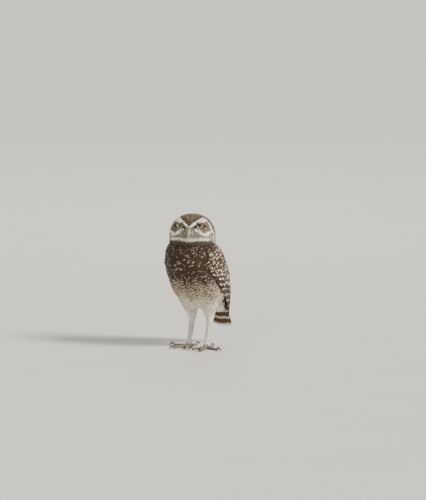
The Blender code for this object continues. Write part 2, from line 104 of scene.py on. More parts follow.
# Past these planes the tail and the wings are all quill: a point in them, and the way on
TRIMS = {
    "tail": ((0.0, 54.3, 46.2), (0.0, 36.0, -61.0)),
    "wing_left": ((0.0, 30.0, 101.0), (0.0, 0.0, -1.0)),
    "wing_right": ((0.0, 30.0, 101.0), (0.0, 0.0, -1.0)),
}
CLAWS = tuple(f"claw_{word}_{toe}" for _, word in SIDES for toe in TOE_NAMES)
# The skin laps this far over the root of each claw, and stands this much off it
CUTICLE, CUTICLE_THICKNESS = 1.9, 0.42


def middle_of(node):
    low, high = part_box(node)
    return np.array((low + high) / 2) / MM


SHIFT = middle_of("foot_left") * (1, 1, 0) - (FOOT_X, FOOT_Y, 0.0)


class OwlSizes(bpy.types.PropertyGroup):
    """Sizes of the skin and the coat that a user may change."""

    voxel: bpy.props.FloatProperty(
        name="Skin detail", description="Size of the grid that the skin is drawn from",
        default=0.00062, min=0.0004, max=0.002, unit="LENGTH", precision=5)
    skin_share: bpy.props.FloatProperty(
        name="Skin faces", description="Share of the body's faces that is kept under the coat",
        default=0.30, min=0.1, max=1.0, subtype="FACTOR")
    body_coat: bpy.props.FloatProperty(
        name="Body coat", description="Depth of the feathers on the body",
        default=0.0034, unit="LENGTH", precision=4)
    crown_coat: bpy.props.FloatProperty(
        name="Crown coat", description="Depth of the feathers on the crown",
        default=0.0020, unit="LENGTH", precision=4)
    face_coat: bpy.props.FloatProperty(
        name="Face coat", description="Depth of the feathers on the face",
        default=0.0012, unit="LENGTH", precision=4)
    wing_coat: bpy.props.FloatProperty(
        name="Wing coat", description="Depth of the feathers on the wings and the tail",
        default=0.0019, unit="LENGTH", precision=4)
    leg_coat: bpy.props.FloatProperty(
        name="Leg coat", description="Depth of the hair-like feathers on the shanks",
        default=0.0010, unit="LENGTH", precision=4)
    body_feather: bpy.props.FloatProperty(
        name="Body feather", description="Length of a feather on the breast and the back",
        default=0.0112, unit="LENGTH", precision=4)
    crown_feather: bpy.props.FloatProperty(
        name="Crown feather", description="Length of a feather on the crown",
        default=0.0058, unit="LENGTH", precision=4)
    face_feather: bpy.props.FloatProperty(
        name="Face feather", description="Length of a feather on the face",
        default=0.0040, unit="LENGTH", precision=4)
    pupil: bpy.props.FloatProperty(
        name="Pupil", description="Radius of the pupil",
        default=0.0021, unit="LENGTH", precision=4)


def colour_property(label, description, colour):
    return bpy.props.FloatVectorProperty(
        name=label, description=description, subtype="COLOR", size=3, min=0.0, max=1.0,
        default=colour)


class OwlColours(bpy.types.PropertyGroup):
    """Colours of the plumage and the bare parts, as linear red, green and blue."""

    brown: colour_property("Brown", "Ground of the back, the wings and the breast", (0.071, 0.0435, 0.0265))
    dark: colour_property("Dark brown", "Collar, eye rims and bars", (0.030, 0.019, 0.013))
    buff: colour_property("Buff", "Spots of the back, the wings and the breast", (0.60, 0.47, 0.32))
    white: colour_property("White", "Brows, chin and moustache", (0.97, 0.93, 0.84))
    pale: colour_property("Pale", "Belly, thighs and under the tail", (0.62, 0.52, 0.38))
    ear: colour_property("Ear coverts", "Grey-brown feathers behind the eyes", (0.255, 0.19, 0.13))
    cheek: colour_property("Cheek", "Greyish feathers beside the bill", (0.40, 0.36, 0.28))
    iris: colour_property("Iris", "The ring of the eye", (0.97, 0.91, 0.44))
    horn: colour_property("Bill", "The bill's pale horn", (0.35, 0.32, 0.17))
    claw: colour_property("Claws", "Dark horn", (0.020, 0.017, 0.015))
    toe: colour_property("Toes", "Scaly skin of the toes", (0.27, 0.23, 0.175))
    floor: colour_property("Floor", "The studio floor", (0.80, 0.78, 0.74))


def colour(name):
    return np.array(getattr(bpy.context.scene.owl_colours, name))


def size(name):
    """A size of the panel in millimetres."""
    return getattr(bpy.context.scene.owl_sizes, name) / MM


# Shader graphs

class Value:
    """A socket of a material that can be used in sums; each sum adds a Math node."""

    def __init__(self, graph, socket):
        self.graph = graph
        self.socket = socket

    def _math(self, operation, *values):
        return self.graph.add("Math", {"operation": operation}, dict(enumerate(values)))

    def __add__(self, other):
        return self._math("ADD", self, other)

    def __sub__(self, other):
        return self._math("SUBTRACT", self, other)

    def __mul__(self, other):
        return self._math("MULTIPLY", self, other)

    def __truediv__(self, other):
        return self._math("DIVIDE", self, other)

    def __pow__(self, other):
        return self._math("POWER", self, other)

    def __radd__(self, other):
        return self._math("ADD", other, self)

    def __rsub__(self, other):
        return self._math("SUBTRACT", other, self)

    def __rmul__(self, other):
        return self._math("MULTIPLY", other, self)

    def __abs__(self):
        return self._math("ABSOLUTE", self)

    def cos(self):
        return self._math("COSINE", self)

    def fraction(self):
        return self._math("FRACT", self)

    def high(self, other):
        return self._math("MAXIMUM", self, other)

    def ramp(self, low, high):
        """0 below low and 1 above high, smooth between them."""
        settings = {"interpolation_type": "SMOOTHSTEP", "clamp": True}
        return self.graph.add("MapRange", settings, {"Value": self, "From Min": low, "From Max": high})


class Graph:
    """The nodes of one procedural material."""

    def __init__(self, name):
        self.material = bpy.data.materials.new(name)
        self.material.use_nodes = True
        self.tree = self.material.node_tree
        self.shader = self.tree.nodes["Principled BSDF"]

    def add(self, kind, settings=None, inputs=None, output=0):
        """Adds a node of a type, with its settings and the values or links of its sockets."""
        node = self.tree.nodes.new(f"ShaderNode{kind}")
        for key, value in (settings or {}).items():
            if key == "stops":
                self._set_stops(node.color_ramp, value)
            else:
                setattr(node, key, value)
        for key, value in (inputs or {}).items():
            self.feed(node.inputs[key], value)
        return Value(self, node.outputs[output])

    def _set_stops(self, ramp, stops):
        while len(ramp.elements) < len(stops):
            ramp.elements.new(1.0)
        for element, (place, shade) in zip(ramp.elements, stops):
            element.position = place
            element.color = (*shade, 1.0)

    def feed(self, socket, value):
        if isinstance(value, Value):
            self.tree.links.new(value.socket, socket)
        elif socket.type == "RGBA" and len(value) == 3:
            socket.default_value = (*value, 1.0)
        else:
            socket.default_value = value

    def set(self, **inputs):
        """Sets the shader's own sockets; an underscore stands for a space."""
        for name, value in inputs.items():
            self.feed(self.shader.inputs[name.replace("_", " ")], value)

    def mix(self, share, low, high):
        inputs = {0: share, 6: low, 7: high}
        return self.add("Mix", {"data_type": "RGBA", "clamp_factor": True}, inputs, output=2)

    def scaled(self, shade, amount):
        """A colour made lighter or darker by a value."""
        return self.add("VectorMath", {"operation": "SCALE"}, {0: shade, "Scale": amount})

    def attribute(self, name, output=0):
        return self.add("Attribute", {"attribute_name": name}, output=output)

    def split(self, vector):
        node = self.tree.nodes.new("ShaderNodeSeparateXYZ")
        self.tree.links.new(vector.socket, node.inputs[0])
        return [Value(self, socket) for socket in node.outputs]

    def noise(self, scale, detail=2.0, roughness=0.5):
        place = self.add("TexCoord", output=3)
        inputs = {"Vector": place, "Scale": scale, "Detail": detail, "Roughness": roughness}
        return self.add("TexNoise", None, inputs)

    def bump(self, height, strength, distance):
        return self.add("Bump", None, {"Height": height, "Strength": strength, "Distance": distance})


def plumage_material():
    """Feathers: spots, bars and shaft streaks on each vane, and its barbs."""
    graph = Graph("plumage")
    across, along, chance = graph.split(graph.attribute("vane", 1))
    spot, bar, streak = graph.split(graph.attribute("form", 1))
    pale, count, span = graph.split(graph.attribute("scale", 1))
    ground, mark = graph.attribute("ground"), graph.attribute("mark")
    web = abs(across)
    wobble = graph.noise(420.0, 3.0) - 0.5
    offside = (web - 0.50 + wobble * 0.30) / (0.22 + pale * 0.22)
    offtip = (along - 0.82 + wobble * 0.08) / (0.05 + pale * 0.09)
    one_sided = (across * (chance - 0.5) * 6.0 + 1.0).ramp(0.0, 0.3)
    spots = (1.0 - (offside * offside + offtip * offtip) + wobble * 0.5).ramp(0.0, 0.7) * one_sided
    turns = along * count + graph.attribute("phase", 2) + web * 0.16 + wobble * 0.18
    wave = (turns * (2.0 * math.pi)).cos()
    bars = (wave + (pale - 0.5) * 2.2).ramp(-0.2, 0.35)
    shaft = (1.0 - (web + wobble * 0.3) * 3.4 / (0.5 + pale)).ramp(0.0, 0.5)
    shafts = shaft * along.ramp(0.55, 0.75)
    marked = (spots * spot).high(bars * bar).high(shafts * streak)
    shade = graph.mix(marked, ground, mark)
    barbs = ((along * span * 2.8 - web * 8.0) * (2.0 * math.pi)).cos()
    rachis = 1.0 - web.ramp(0.0, 0.08)
    worn = (along.ramp(0.88, 1.0) + web.ramp(0.62, 1.0) * 0.7) * 0.26
    # Darker towards each feather's root: partly the grey down at a real feather's base, partly painted shade under the
    # feathers that lie over it.
    root_down_and_shade = 1.0 - along.ramp(0.05, 0.45)
    frayed = graph.noise(1500.0, 2.0, 0.6) - 0.5
    tone = 0.86 + chance * 0.22 + barbs * 0.045 - rachis * 0.2 + worn - root_down_and_shade * 0.30
    tone = tone + (graph.noise(90.0, 4.0, 0.6) - 0.5) * 0.4 + frayed * 0.5
    graph.set(
        Base_Color=graph.scaled(shade, tone),
        Roughness=0.86 - barbs * 0.04 - rachis * 0.2,
        Normal=graph.bump(barbs * 0.5 + rachis * 1.2, 0.35, 0.00012),
        Specular_IOR_Level=0.25,
        Sheen_Weight=0.12,
        Sheen_Roughness=0.5,
    )
    return graph.material


def under_material():
    """The skin beneath the feathers, in the same markings as the coat."""
    graph = Graph("skin_under_plumage")
    grain = graph.noise(900.0, 3.0)
    patch = graph.noise(140.0, 3.0)
    tone = 0.55 + grain * 0.35 + patch * 0.25
    graph.set(
        Base_Color=graph.scaled(graph.attribute("ground"), tone),
        Roughness=0.85 + grain * 0.1,
        Normal=graph.bump(grain, 0.5, 0.0003),
        Specular_IOR_Level=0.2,
    )
    return graph.material


def toe_material():
    """Toes and soles: small horny plates with dark seams."""
    graph = Graph("toe_skin")
    place = graph.add("TexCoord", output=3)
    plates = graph.add("TexVoronoi", {"feature": "DISTANCE_TO_EDGE"}, {"Vector": place, "Scale": 1350.0})
    seam = plates.ramp(0.02, 0.16)
    grain = graph.noise(1500.0, 3.0)
    worn = graph.noise(160.0, 2.0)
    shade = graph.mix(seam, colour("toe") * 0.35, colour("toe"))
    graph.set(
        Base_Color=graph.scaled(shade, 0.75 + worn * 0.5),
        Roughness=0.72 - seam * 0.14 + grain * 0.12,
        Normal=graph.bump(seam + grain * 0.25, 0.7, 0.00025),
    )
    return graph.material


def lid_material():
    """The bare, dark edge of the eyelids, finely wrinkled."""
    graph = Graph("eyelid")
    grain = graph.noise(1400.0, 4.0)
    folds = graph.noise(420.0, 2.0)
    shade = graph.mix(folds.ramp(0.35, 0.7), colour("dark") * 0.55, colour("dark") * 1.9)
    graph.set(
        Base_Color=shade,
        Roughness=0.5 + grain * 0.2,
        Normal=graph.bump(grain + folds, 0.5, 0.0002),
    )
    return graph.material


def horn_material(name, shade, base_shade, tip_shade, axis_low, axis_high):
    """Bill or claw horn: a soft change of colour along it and fine growth lines."""
    graph = Graph(name)
    height = graph.split(graph.attribute("vane", 1))[1]
    grain = graph.noise(1300.0, 3.0)
    clouds = graph.noise(220.0, 3.0)
    low = graph.mix(height.ramp(*axis_low), base_shade, shade)
    shaded = graph.mix(height.ramp(*axis_high), low, tip_shade)
    lines = ((height * 9.0 + clouds * 0.8) * (2.0 * math.pi)).cos()
    graph.set(
        Base_Color=graph.scaled(shaded, 0.84 + clouds * 0.28 + lines * 0.02),
        Roughness=0.26 + grain * 0.16,
        Normal=graph.bump(grain * 0.6 + lines * 0.15, 0.25, 0.00012),
        Coat_Weight=0.35,
        Coat_Roughness=0.2,
    )
    return graph.material


def iris_material():
    """Pale yellow iris with fine spokes and a dark rim; the pupil and the ball are black."""
    graph = Graph("eye_iris")
    radius, turn, _ = graph.split(graph.attribute("vane", 1))
    spokes = (turn * 38.0 * (2.0 * math.pi) + graph.noise(500.0) * 9.0).cos()
    flecks = graph.noise(1600.0, 3.0)
    deep = colour("iris") * (0.88, 0.70, 0.42)
    yellow = graph.mix(spokes * 0.25 + flecks * 0.6, deep, colour("iris") * (1.08, 1.12, 1.6))
    ringed = graph.mix(radius.ramp(0.86, 0.99), yellow, (0.05, 0.03, 0.012))
    inner = graph.mix(1.0 - radius.ramp(0.47, 0.56), ringed, (0.10, 0.05, 0.01))
    graph.set(
        Base_Color=inner,
        Roughness=0.42 + flecks * 0.1,
        Normal=graph.bump(spokes * 0.4 + flecks, 0.3, 0.0002),
    )
    return graph.material


def pupil_material():
    """The pupil and the dark ball behind the lids, with a faint mottle."""
    graph = Graph("eye_dark")
    mottle = graph.noise(700.0)
    shade = graph.mix(mottle, (0.004, 0.004, 0.005), (0.012, 0.010, 0.010))
    graph.set(Base_Color=shade, Roughness=0.2 + mottle * 0.1)
    return graph.material


def cornea_material():
    """The clear wet front of the eye: a faint mirror, stronger at a slant."""
    graph = Graph("cornea")
    slant = graph.add("LayerWeight", None, {"Blend": 0.5}, output=1)
    film = graph.noise(300.0)
    graph.set(
        Base_Color=graph.mix(film, (0.94, 0.95, 0.96), (1.0, 1.0, 1.0)),
        Metallic=1.0,
        Alpha=0.035 + slant**5.0 * 0.6,
        Roughness=0.02 + film * 0.03,
    )
    return graph.material


def floor_material():
    """Pale studio floor with a faint mottle."""
    graph = Graph("studio_floor")
    mottle = graph.noise(7.0, 4.0)
    shade = colour("floor")
    graph.set(
        Base_Color=graph.mix(mottle, shade * 0.97, shade * 1.02),
        Roughness=0.8 + mottle * 0.1,
        Normal=graph.bump(graph.noise(60.0, 3.0), 0.05, 0.002),
    )
    return graph.material


def shared(maker):
    """A material that several pieces use, made once."""
    if maker.__name__ not in bpy.data.materials:
        maker().name = maker.__name__
    return bpy.data.materials[maker.__name__]


# Places and vectors

def placed(points):
    """Owl millimetres as metres of the frame."""
    return (np.asarray(points, float) + SHIFT) * MM


def unit(vectors):
    return vectors / np.maximum(np.linalg.norm(vectors, axis=-1, keepdims=True), 1e-9)


def dot(a, b):
    return (a * b).sum(-1, keepdims=True)


def step(low, high, value):
    """0 below low and 1 above high, smooth between them; low may be the larger."""
    share = np.clip((value - low) / (high - low), 0.0, 1.0)
    return share * share * (3.0 - 2.0 * share)


def spun(points, angle):
    """Points turned about the upright axis through the head."""
    x, y = points[..., 0], points[..., 1] - HEAD_AXIS_Y
    c, s = np.cos(angle), np.sin(angle)
    return np.stack((x * c - y * s, x * s + y * c + HEAD_AXIS_Y, points[..., 2]), -1)


def head_frame(points):
    """How far places lie to the owl's left, ahead of the head's axis and above FACE_Z."""
    turned = spun(points, -HEAD_YAW)
    return turned[..., 0], HEAD_AXIS_Y - turned[..., 1], turned[..., 2] - FACE_Z


def from_head(side, ahead, up):
    """The opposite of head_frame."""
    side, ahead, up = np.broadcast_arrays(side, ahead, up)
    return spun(np.stack((side, HEAD_AXIS_Y - ahead, up + FACE_Z), -1), HEAD_YAW)


def body_azimuth(points):
    """Degrees round the body from straight ahead, positive on the owl's left."""
    turned = spun(points, -HEAD_YAW * step(*NECK_TWIST, points[..., 2]))
    middle = np.interp(points[..., 2], BODY_HEIGHTS, BODY_MIDDLES)
    return np.degrees(np.arctan2(turned[..., 0], middle - turned[..., 1]))


# Meshes

def next_ring(shape, ring):
    """Extrudes a closed ring of vertices and returns the new ring in the same order."""
    edges = [shape.edges.get(pair) for pair in zip(ring, ring[1:] + ring[:1])]
    made = set(bmesh.ops.extrude_edge_only(shape, edges=edges)["geom"])
    return [next(e.other_vert(v) for e in v.link_edges if e.other_vert(v) in made) for v in ring]


def lofted(rings, closed=True):
    """Extrudes a circle from ring to ring; closed ends get a cap."""
    shape = bmesh.new()
    made = bmesh.ops.create_circle(shape, cap_ends=False, segments=len(rings[0]), radius=1.0)
    ring = list(made["verts"])
    loops = []
    for number, points in enumerate(rings):
        if number:
            ring = next_ring(shape, ring)
        for vertex, point in zip(ring, points):
            vertex.co = point
        loops.append(ring)
    if closed:
        for loop in (loops[0], loops[-1]):
            bmesh.ops.contextual_create(shape, geom=loop)
    bmesh.ops.recalc_face_normals(shape, faces=shape.faces)
    return shape, loops


def finish_piece(name, mesh, materials, replaced=()):
    """Links a mesh as a piece of the owl, on its body, and hides the solids that it replaces."""
    piece = bpy.data.objects.new(name, mesh)
    bpy.context.scene.collection.objects.link(piece)
    for entry in materials:
        mesh.materials.append(entry)
    mesh.shade_smooth()
    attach(piece, "root")
    if replaced:
        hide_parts(*replaced)
    return piece


def mesh_of(shape, name):
    mesh = bpy.data.meshes.new(name)
    shape.to_mesh(mesh)
    shape.free()
    return mesh


def write_attribute(mesh, name, kind, values, domain="POINT"):
    values = np.ascontiguousarray(values, np.float32)
    if kind == "FLOAT":
        mesh.attributes.new(name, kind, domain).data.foreach_set("value", values.ravel())
        return
    if kind == "FLOAT_COLOR" and values.shape[-1] == 3:
        values = np.concatenate((values, np.ones((*values.shape[:-1], 1), np.float32)), -1)
    field = mesh.attributes.new(name, kind, domain)
    field.data.foreach_set("color" if kind == "FLOAT_COLOR" else "vector", values.ravel())


def claw_root(name, part):
    """How far the skin laps over a claw: a point there, and the way on."""
    foot = np.array((FOOT_X if "left" in name else -FOOT_X, FOOT_Y, 0.0))
    way = (middle_of(name) - SHIFT - foot) * (1, 1, 0)
    way /= np.linalg.norm(way)
    reach = min((np.array(v.co) / MM - SHIFT) @ way for v in part.verts)
    return way * (reach + CUTICLE), way


def node_surface(names, grow=0.0):
    """The merged solids of some nodes in one bmesh, each grown by some millimetres."""
    whole = bmesh.new()
    for name in names:
        part = bmesh.new()
        part.from_mesh(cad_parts[name].data)
        bmesh.ops.remove_doubles(part, verts=part.verts, dist=1e-6)
        if grow and (name in TRIMS or name in CLAWS):
            place, way = TRIMS[name] if name in TRIMS else claw_root(name, part)
            everything = part.verts[:] + part.edges[:] + part.faces[:]
            bmesh.ops.bisect_plane(part, geom=everything, plane_co=placed(place), plane_no=way, clear_outer=True)
            bmesh.ops.holes_fill(part, edges=part.edges)
        part.normal_update()
        swell = max(grow, CUTICLE_THICKNESS) if name in CLAWS and grow else grow
        for vertex in part.verts:
            vertex.co += vertex.normal * (swell * MM)
        held = mesh_of(part, "held")
        whole.from_mesh(held)
        bpy.data.meshes.remove(held)
    return whole


class Surface:
    """A triangle mesh that feathers are planted on, with facts known at its vertices."""

    def __init__(self, points, triangles, **facts):
        self.points = points
        self.triangles = triangles
        self.facts = facts
        corners = points[triangles]
        self.facing = np.cross(corners[:, 1] - corners[:, 0], corners[:, 2] - corners[:, 0])
        self.areas = np.linalg.norm(self.facing, axis=1) / 2
        normals = np.zeros_like(points)
        for corner in range(3):
            for axis in range(3):
                weights = self.facing[:, axis]
                normals[:, axis] += np.bincount(triangles[:, corner], weights, len(points))
        self.facts["normal"] = unit(normals)
        self.tree = BVHTree.FromPolygons(points.tolist(), triangles.tolist(), all_triangles=True)

    def nearest(self, places):
        """The nearest places on the surface, and how to read its facts there."""
        found = [self.tree.find_nearest(place) for place in places.tolist()]
        on = np.array([hit[0] for hit in found])
        return on, self.weights(on, np.array([hit[2] for hit in found]))

    def weights(self, places, indices):
        """The three corners of each place's triangle and their shares."""
        corners = self.triangles[indices]
        a, b, c = (self.points[corners[:, i]] for i in range(3))
        whole = np.maximum(self.areas[indices] * 2, 1e-12)
        share_a = np.linalg.norm(np.cross(b - places, c - places), axis=1) / whole
        share_b = np.linalg.norm(np.cross(c - places, a - places), axis=1) / whole
        share_a = np.clip(share_a, 0, 1)
        share_b = np.clip(share_b, 0, 1 - share_a)
        return corners, np.stack((share_a, share_b, 1 - share_a - share_b), 1)

    def read(self, fact, where):
        corners, shares = where
        values = self.facts[fact][corners]
        if values.ndim == 2:
            return (values * shares).sum(1)
        return (values * shares[:, :, None]).sum(1)

    def part_at(self, where):
        corners, shares = where
        return self.facts["part"][corners[np.arange(len(corners)), shares.argmax(1)]]

    def scatter(self, wanted, spacing, rng):
        """Places spread over the wanted triangles, none much closer than the spacing there."""
        middles = self.points[self.triangles].mean(1)
        gaps = spacing(middles) if callable(spacing) else np.full(len(middles), float(spacing))
        density = np.where(wanted, self.areas / gaps**2, 0.0)
        count = int(density.sum() * 3.0)
        chosen = rng.choice(len(density), count, p=density / density.sum())
        r1, r2 = np.sqrt(rng.random(count)), rng.random(count)
        shares = np.stack((1 - r1, r1 * (1 - r2), r1 * r2), 1)
        corners = self.triangles[chosen]
        places = (self.points[corners] * shares[:, :, None]).sum(1)
        kept = thinned(places, gaps[chosen] * 0.80)
        return places[kept], (corners[kept], shares[kept])


def thinned(places, gaps):
    """Indices of places that keep their distance from those kept before them."""
    cell = float(gaps.max())
    grid = {}
    kept = []
    keys = np.floor(places / cell).astype(int)
    around = [(i, j, k) for i in (-1, 0, 1) for j in (-1, 0, 1) for k in (-1, 0, 1)]
    for index, ((x, y, z), (i, j, k), gap) in enumerate(
        zip(places.tolist(), keys.tolist(), (gaps * gaps).tolist())
    ):
        near = (grid.get((i + a, j + b, k + c), ()) for a, b, c in around)
        if all((x - p) ** 2 + (y - q) ** 2 + (z - r) ** 2 > gap for few in near for p, q, r in few):
            grid.setdefault((i, j, k), []).append((x, y, z))
            kept.append(index)
    return np.array(kept, int)


def relaxed(points, edges, share, rounds, swell=0.0):
    """Vertices drawn towards the mean of their neighbours; swell pushes back what that shrinks."""
    count = len(points)
    both = np.concatenate((edges, edges[:, ::-1]))
    degree = np.maximum(np.bincount(both[:, 0], minlength=count), 1)
    for number in range(rounds):
        means = np.stack(
            [np.bincount(both[:, 0], points[both[:, 1], axis], count) / degree for axis in range(3)],
            axis=1,
        )
        amount = -share * swell if number % 2 else share
        points = points + (means - points) * amount[:, None]
    return points


# Markings, shared by the coat and the skin under it

class Look:
    """Colours and pattern at some places: ground, mark, form and scale of the marks."""

    def __init__(self, count):
        self.ground = np.tile(colour("brown"), (count, 1))
        self.mark = np.tile(colour("buff"), (count, 1))
        self.form = np.tile((1.0, 0.0, 0.0), (count, 1))
        self.pale = np.full(count, 0.45)

    def tint(self, share, ground=None, mark=None, form=None, pale=None):
        """Leans towards other colours and marks by a share at each place."""
        wide = share[:, None]
        if ground is not None:
            self.ground += (ground - self.ground) * wide
        if mark is not None:
            self.mark += (mark - self.mark) * wide
        if form is not None:
            self.form += (np.array(form) - self.form) * wide
        if pale is not None:
            self.pale += (pale - self.pale) * share

    def mean(self):
        """The colour that the coat has from afar."""
        spread = self.form @ (0.05, 0.5, 0.08) * (0.4 + 1.2 * self.pale)
        return self.ground + (self.mark - self.ground) * np.clip(spread, 0, 1)[:, None]


def stroke(side, up, points, thickness):
    """How fully a place lies on a line drawn over the face through (side, up) points."""
    best = np.zeros(len(side))
    widths = np.broadcast_to(thickness, len(points))
    for i in range(len(points) - 1):
        (x0, z0), (x1, z1) = points[i], points[i + 1]
        length = (x1 - x0) ** 2 + (z1 - z0) ** 2
        t = np.clip(((side - x0) * (x1 - x0) + (up - z0) * (z1 - z0)) / length, 0, 1)
        away = np.hypot(side - x0 - t * (x1 - x0), up - z0 - t * (z1 - z0))
        wide = widths[i] + (widths[i + 1] - widths[i]) * t
        best = np.maximum(best, step(wide * 1.25, wide * 0.75, away))
    return best


BROW = ((2.4, 9.4), (6.4, 12.8), (11.0, 15.4), (17.0, 17.9), (22.5, 17.6))
BROW_WIDTH = (1.7, 1.5, 1.8, 2.4, 2.6)
MOUSTACHE = ((8.8, 4.6), (13.3, 2.4), (17.4, -0.4), (20.4, -2.6), (25.0, -2.2), (28.5, 0.4))
MOUSTACHE_WIDTH = (1.3, 1.8, 1.9, 1.5, 2.9, 1.8)
CHIN_LINE = ((0.0, -10.3), (6.0, -9.9), (12.0, -9.2), (19.0, -8.9), (26.5, -9.9))


def speckle(points):
    """A share from 0 to 1 at each place, as good as random."""
    return np.modf(np.abs(np.sin(points @ (12.99, 78.23, 37.72))) * 4375.85)[0]


def paint_body(look, points, azimuth):
    """Breast, belly, back and rump."""
    uneven = 3.0 * np.sin(azimuth * 0.13 + 0.8) + 2.0 * np.sin(azimuth * 0.31) + 9.0 * speckle(points) - 4.5
    up = points[:, 2] + uneven
    front = step(112.0, 84.0, abs(azimuth))
    brown, dark, buff, pale, white = (colour(n) for n in ("brown", "dark", "buff", "pale", "white"))
    spot = (buff + white) / 2
    look.tint(step(150.0, 130.0, up) * front, ground=brown * 0.85, mark=spot, pale=0.7)
    barred = step(101.0, 91.0, up) * front
    look.tint(barred, ground=brown * 1.1, mark=pale, form=(0.0, 1.0, 0.0), pale=0.18)
    look.tint(step(94.0, 80.0, up) * front, pale=0.45)
    look.tint(step(84.0, 70.0, up) * front, ground=brown * 1.5, pale=0.72)
    look.tint(step(74.0, 62.0, up) * front, ground=pale, mark=white, form=(0.0, 0.3, 0.0), pale=1.0)
    back = 1.0 - front
    look.tint(step(112.0, 96.0, up) * back, ground=brown * 1.2, form=(0.6, 0.0, 0.0), pale=0.3)
    under_tail = step(3.0, -3.0, tail_coordinates(points)[2])
    look.tint(step(80.0, 72.0, up) * back * under_tail, ground=pale, mark=white, form=(0.0, 0.0, 0.0))
    collar = step(138.0, 143.0, up) * step(160.0, 156.5, points[:, 2]) * step(80.0, 62.0, abs(azimuth))
    look.tint(collar * 0.8, ground=dark * 1.3, mark=buff, form=(0.8, 0.0, 0.2), pale=0.35)


def lid_line(side):
    """Height of the upper lid's edge over the middle of the eye."""
    return 1.45 + 0.30 * side - 0.05 * side * side


def paint_head(look, points):
    """Crown, brows, ear coverts, cheeks, rim, moustache and chin."""
    side, ahead, up = head_frame(points)
    azimuth = np.degrees(np.arctan2(side, ahead))
    side, away = abs(side), abs(azimuth)
    brown, dark, buff, white = (colour(n) for n in ("brown", "dark", "buff", "white"))
    on = np.ones(len(side))
    look.tint(on, ground=brown * 0.95, mark=buff, form=(0.1, 0.0, 0.9), pale=0.30)
    nape = step(100.0, 130.0, away) * step(4.0, -6.0, up)
    look.tint(nape, form=(0.9, 0.0, 0.3), pale=0.5)
    brow_up = np.interp(side, [p[0] for p in BROW], [p[1] for p in BROW])
    below_brow = step(0.5, -1.0, up - brow_up)
    edge = 70.0 + 9.0 * step(5.0, -3.0, up)
    face = below_brow * step(4.0, -4.0, away - edge) * step(-4.0, 4.0, ahead)
    plain = (0.0, 0.0, 0.0)
    look.tint(face, ground=colour("ear"), mark=dark, form=(0.0, 0.55, 0.0), pale=0.3)
    low_ear = face * step(-3.0, -6.0, up) * step(18.0, 22.0, side)
    look.tint(low_ear, ground=colour("cheek"), form=plain)
    from_eye = np.hypot(side - EYE_X, up - EYE_Z)
    cheek = face * step(20.0, 15.0, side) * step(6.5, 1.5, up)
    look.tint(cheek, ground=colour("cheek") * 0.72, form=plain)
    lore = face * step(9.0, 7.0, side) * step(-3.0, 1.0, up)
    look.tint(lore, ground=colour("cheek") * 0.5, form=plain)
    tear = stroke(side, up, ((7.4, 5.6), (6.4, 10.0)), 1.0) * face
    look.tint(tear, ground=dark, form=plain)
    rim = step(5.0, 3.0, abs(away - edge)) * step(16.0, 13.5, up) * step(-19.0, -16.0, up)
    look.tint(rim, ground=white * 0.93, form=(0.0, 0.0, 0.35), mark=brown, pale=0.2)
    behind = step(2.0, 5.0, away - edge) * step(18.0, 10.0, away - edge) * step(12.0, 6.0, up)
    look.tint(behind * 0.85, ground=dark * 1.2, form=(0.5, 0.0, 0.2), mark=buff)
    jaw = stroke(side, up, CHIN_LINE, 1.5) * step(0.0, 6.0, ahead)
    look.tint(jaw, ground=white, form=plain)
    brow = stroke(side, up, BROW, BROW_WIDTH) * step(6.0, 10.0, ahead)
    look.tint(brow, ground=white, form=plain)
    out, over = side - EYE_X, up - EYE_Z - lid_line(side - EYE_X)
    near = step(8.0, 12.0, ahead)
    under = step(8.4, 6.8, from_eye) * step(1.0, -1.0, over) * step(19.5, 16.0, side) * step(8.0, 10.0, side)
    look.tint(under * near, ground=colour("cheek") * 1.2, form=plain)
    look.tint(stroke(side, up, MOUSTACHE, MOUSTACHE_WIDTH) * face, ground=white, form=plain)
    look.tint(step(1.2, 2.2, over) * step(18.0, 14.0, side) * step(7.5, 6.5, from_eye) * near, ground=white * 0.85)
    ring = step(1.24, 1.10, np.hypot(out / 5.6, (up - EYE_Z) / 3.6)) * step(2.5, 1.6, over) * near
    look.tint(ring, ground=dark * 0.8, form=plain)
    corner = stroke(side, up, ((19.9, 11.0), (22.0, 9.0)), 1.4) * step(4.0, 8.0, ahead)
    look.tint(corner, ground=dark, form=plain)
    below_chin = step(-11.8, -12.6, up + 1.6 * step(8.0, 4.0, side)) * step(-20.0, -6.0, ahead)
    collar = below_chin * step(84.0, 66.0, away)
    look.tint(collar, ground=dark * 1.3, mark=buff, form=(0.8, 0.0, 0.2), pale=0.35)


def plumage(points, parts):
    """The look of the coat at some places of the owl."""
    look = Look(len(points))
    azimuth = body_azimuth(points)
    paint_body(look, points, azimuth)
    head = Look(len(points))
    paint_head(head, points)
    on_head = np.isin(parts, (NECK, *HEAD_PARTS)) * step(151.0, 155.0, points[:, 2])
    look.tint(on_head, head.ground, head.mark, None, None)
    look.form += (head.form - look.form) * on_head[:, None]
    look.pale += (head.pale - look.pale) * on_head
    brown, pale, white = colour("brown"), colour("pale"), colour("white")
    wing = (parts == WING).astype(float)
    spot = (colour("buff") + white) / 2
    look.tint(wing, ground=brown * 0.92, mark=spot, form=(1.0, 0.0, 0.0), pale=0.75)
    legs = ((parts == THIGH) | (parts == SHANK)).astype(float)
    look.tint(legs, ground=pale * 1.02, mark=brown * 2.5, form=(0.0, 0.0, 0.0), pale=0.3)
    look.tint(legs * step(62.0, 40.0, points[:, 2]), ground=white * 0.88)
    tail = (parts == TAIL).astype(float)
    under = tail * step(2.0, -2.0, tail_coordinates(points)[2])
    look.tint(tail, ground=brown * 1.05, mark=pale, form=(0.7, 0.0, 0.0), pale=0.30)
    look.tint(under, ground=white * 0.9, mark=pale, form=(0.0, 0.0, 0.0), pale=1.0)
    return look


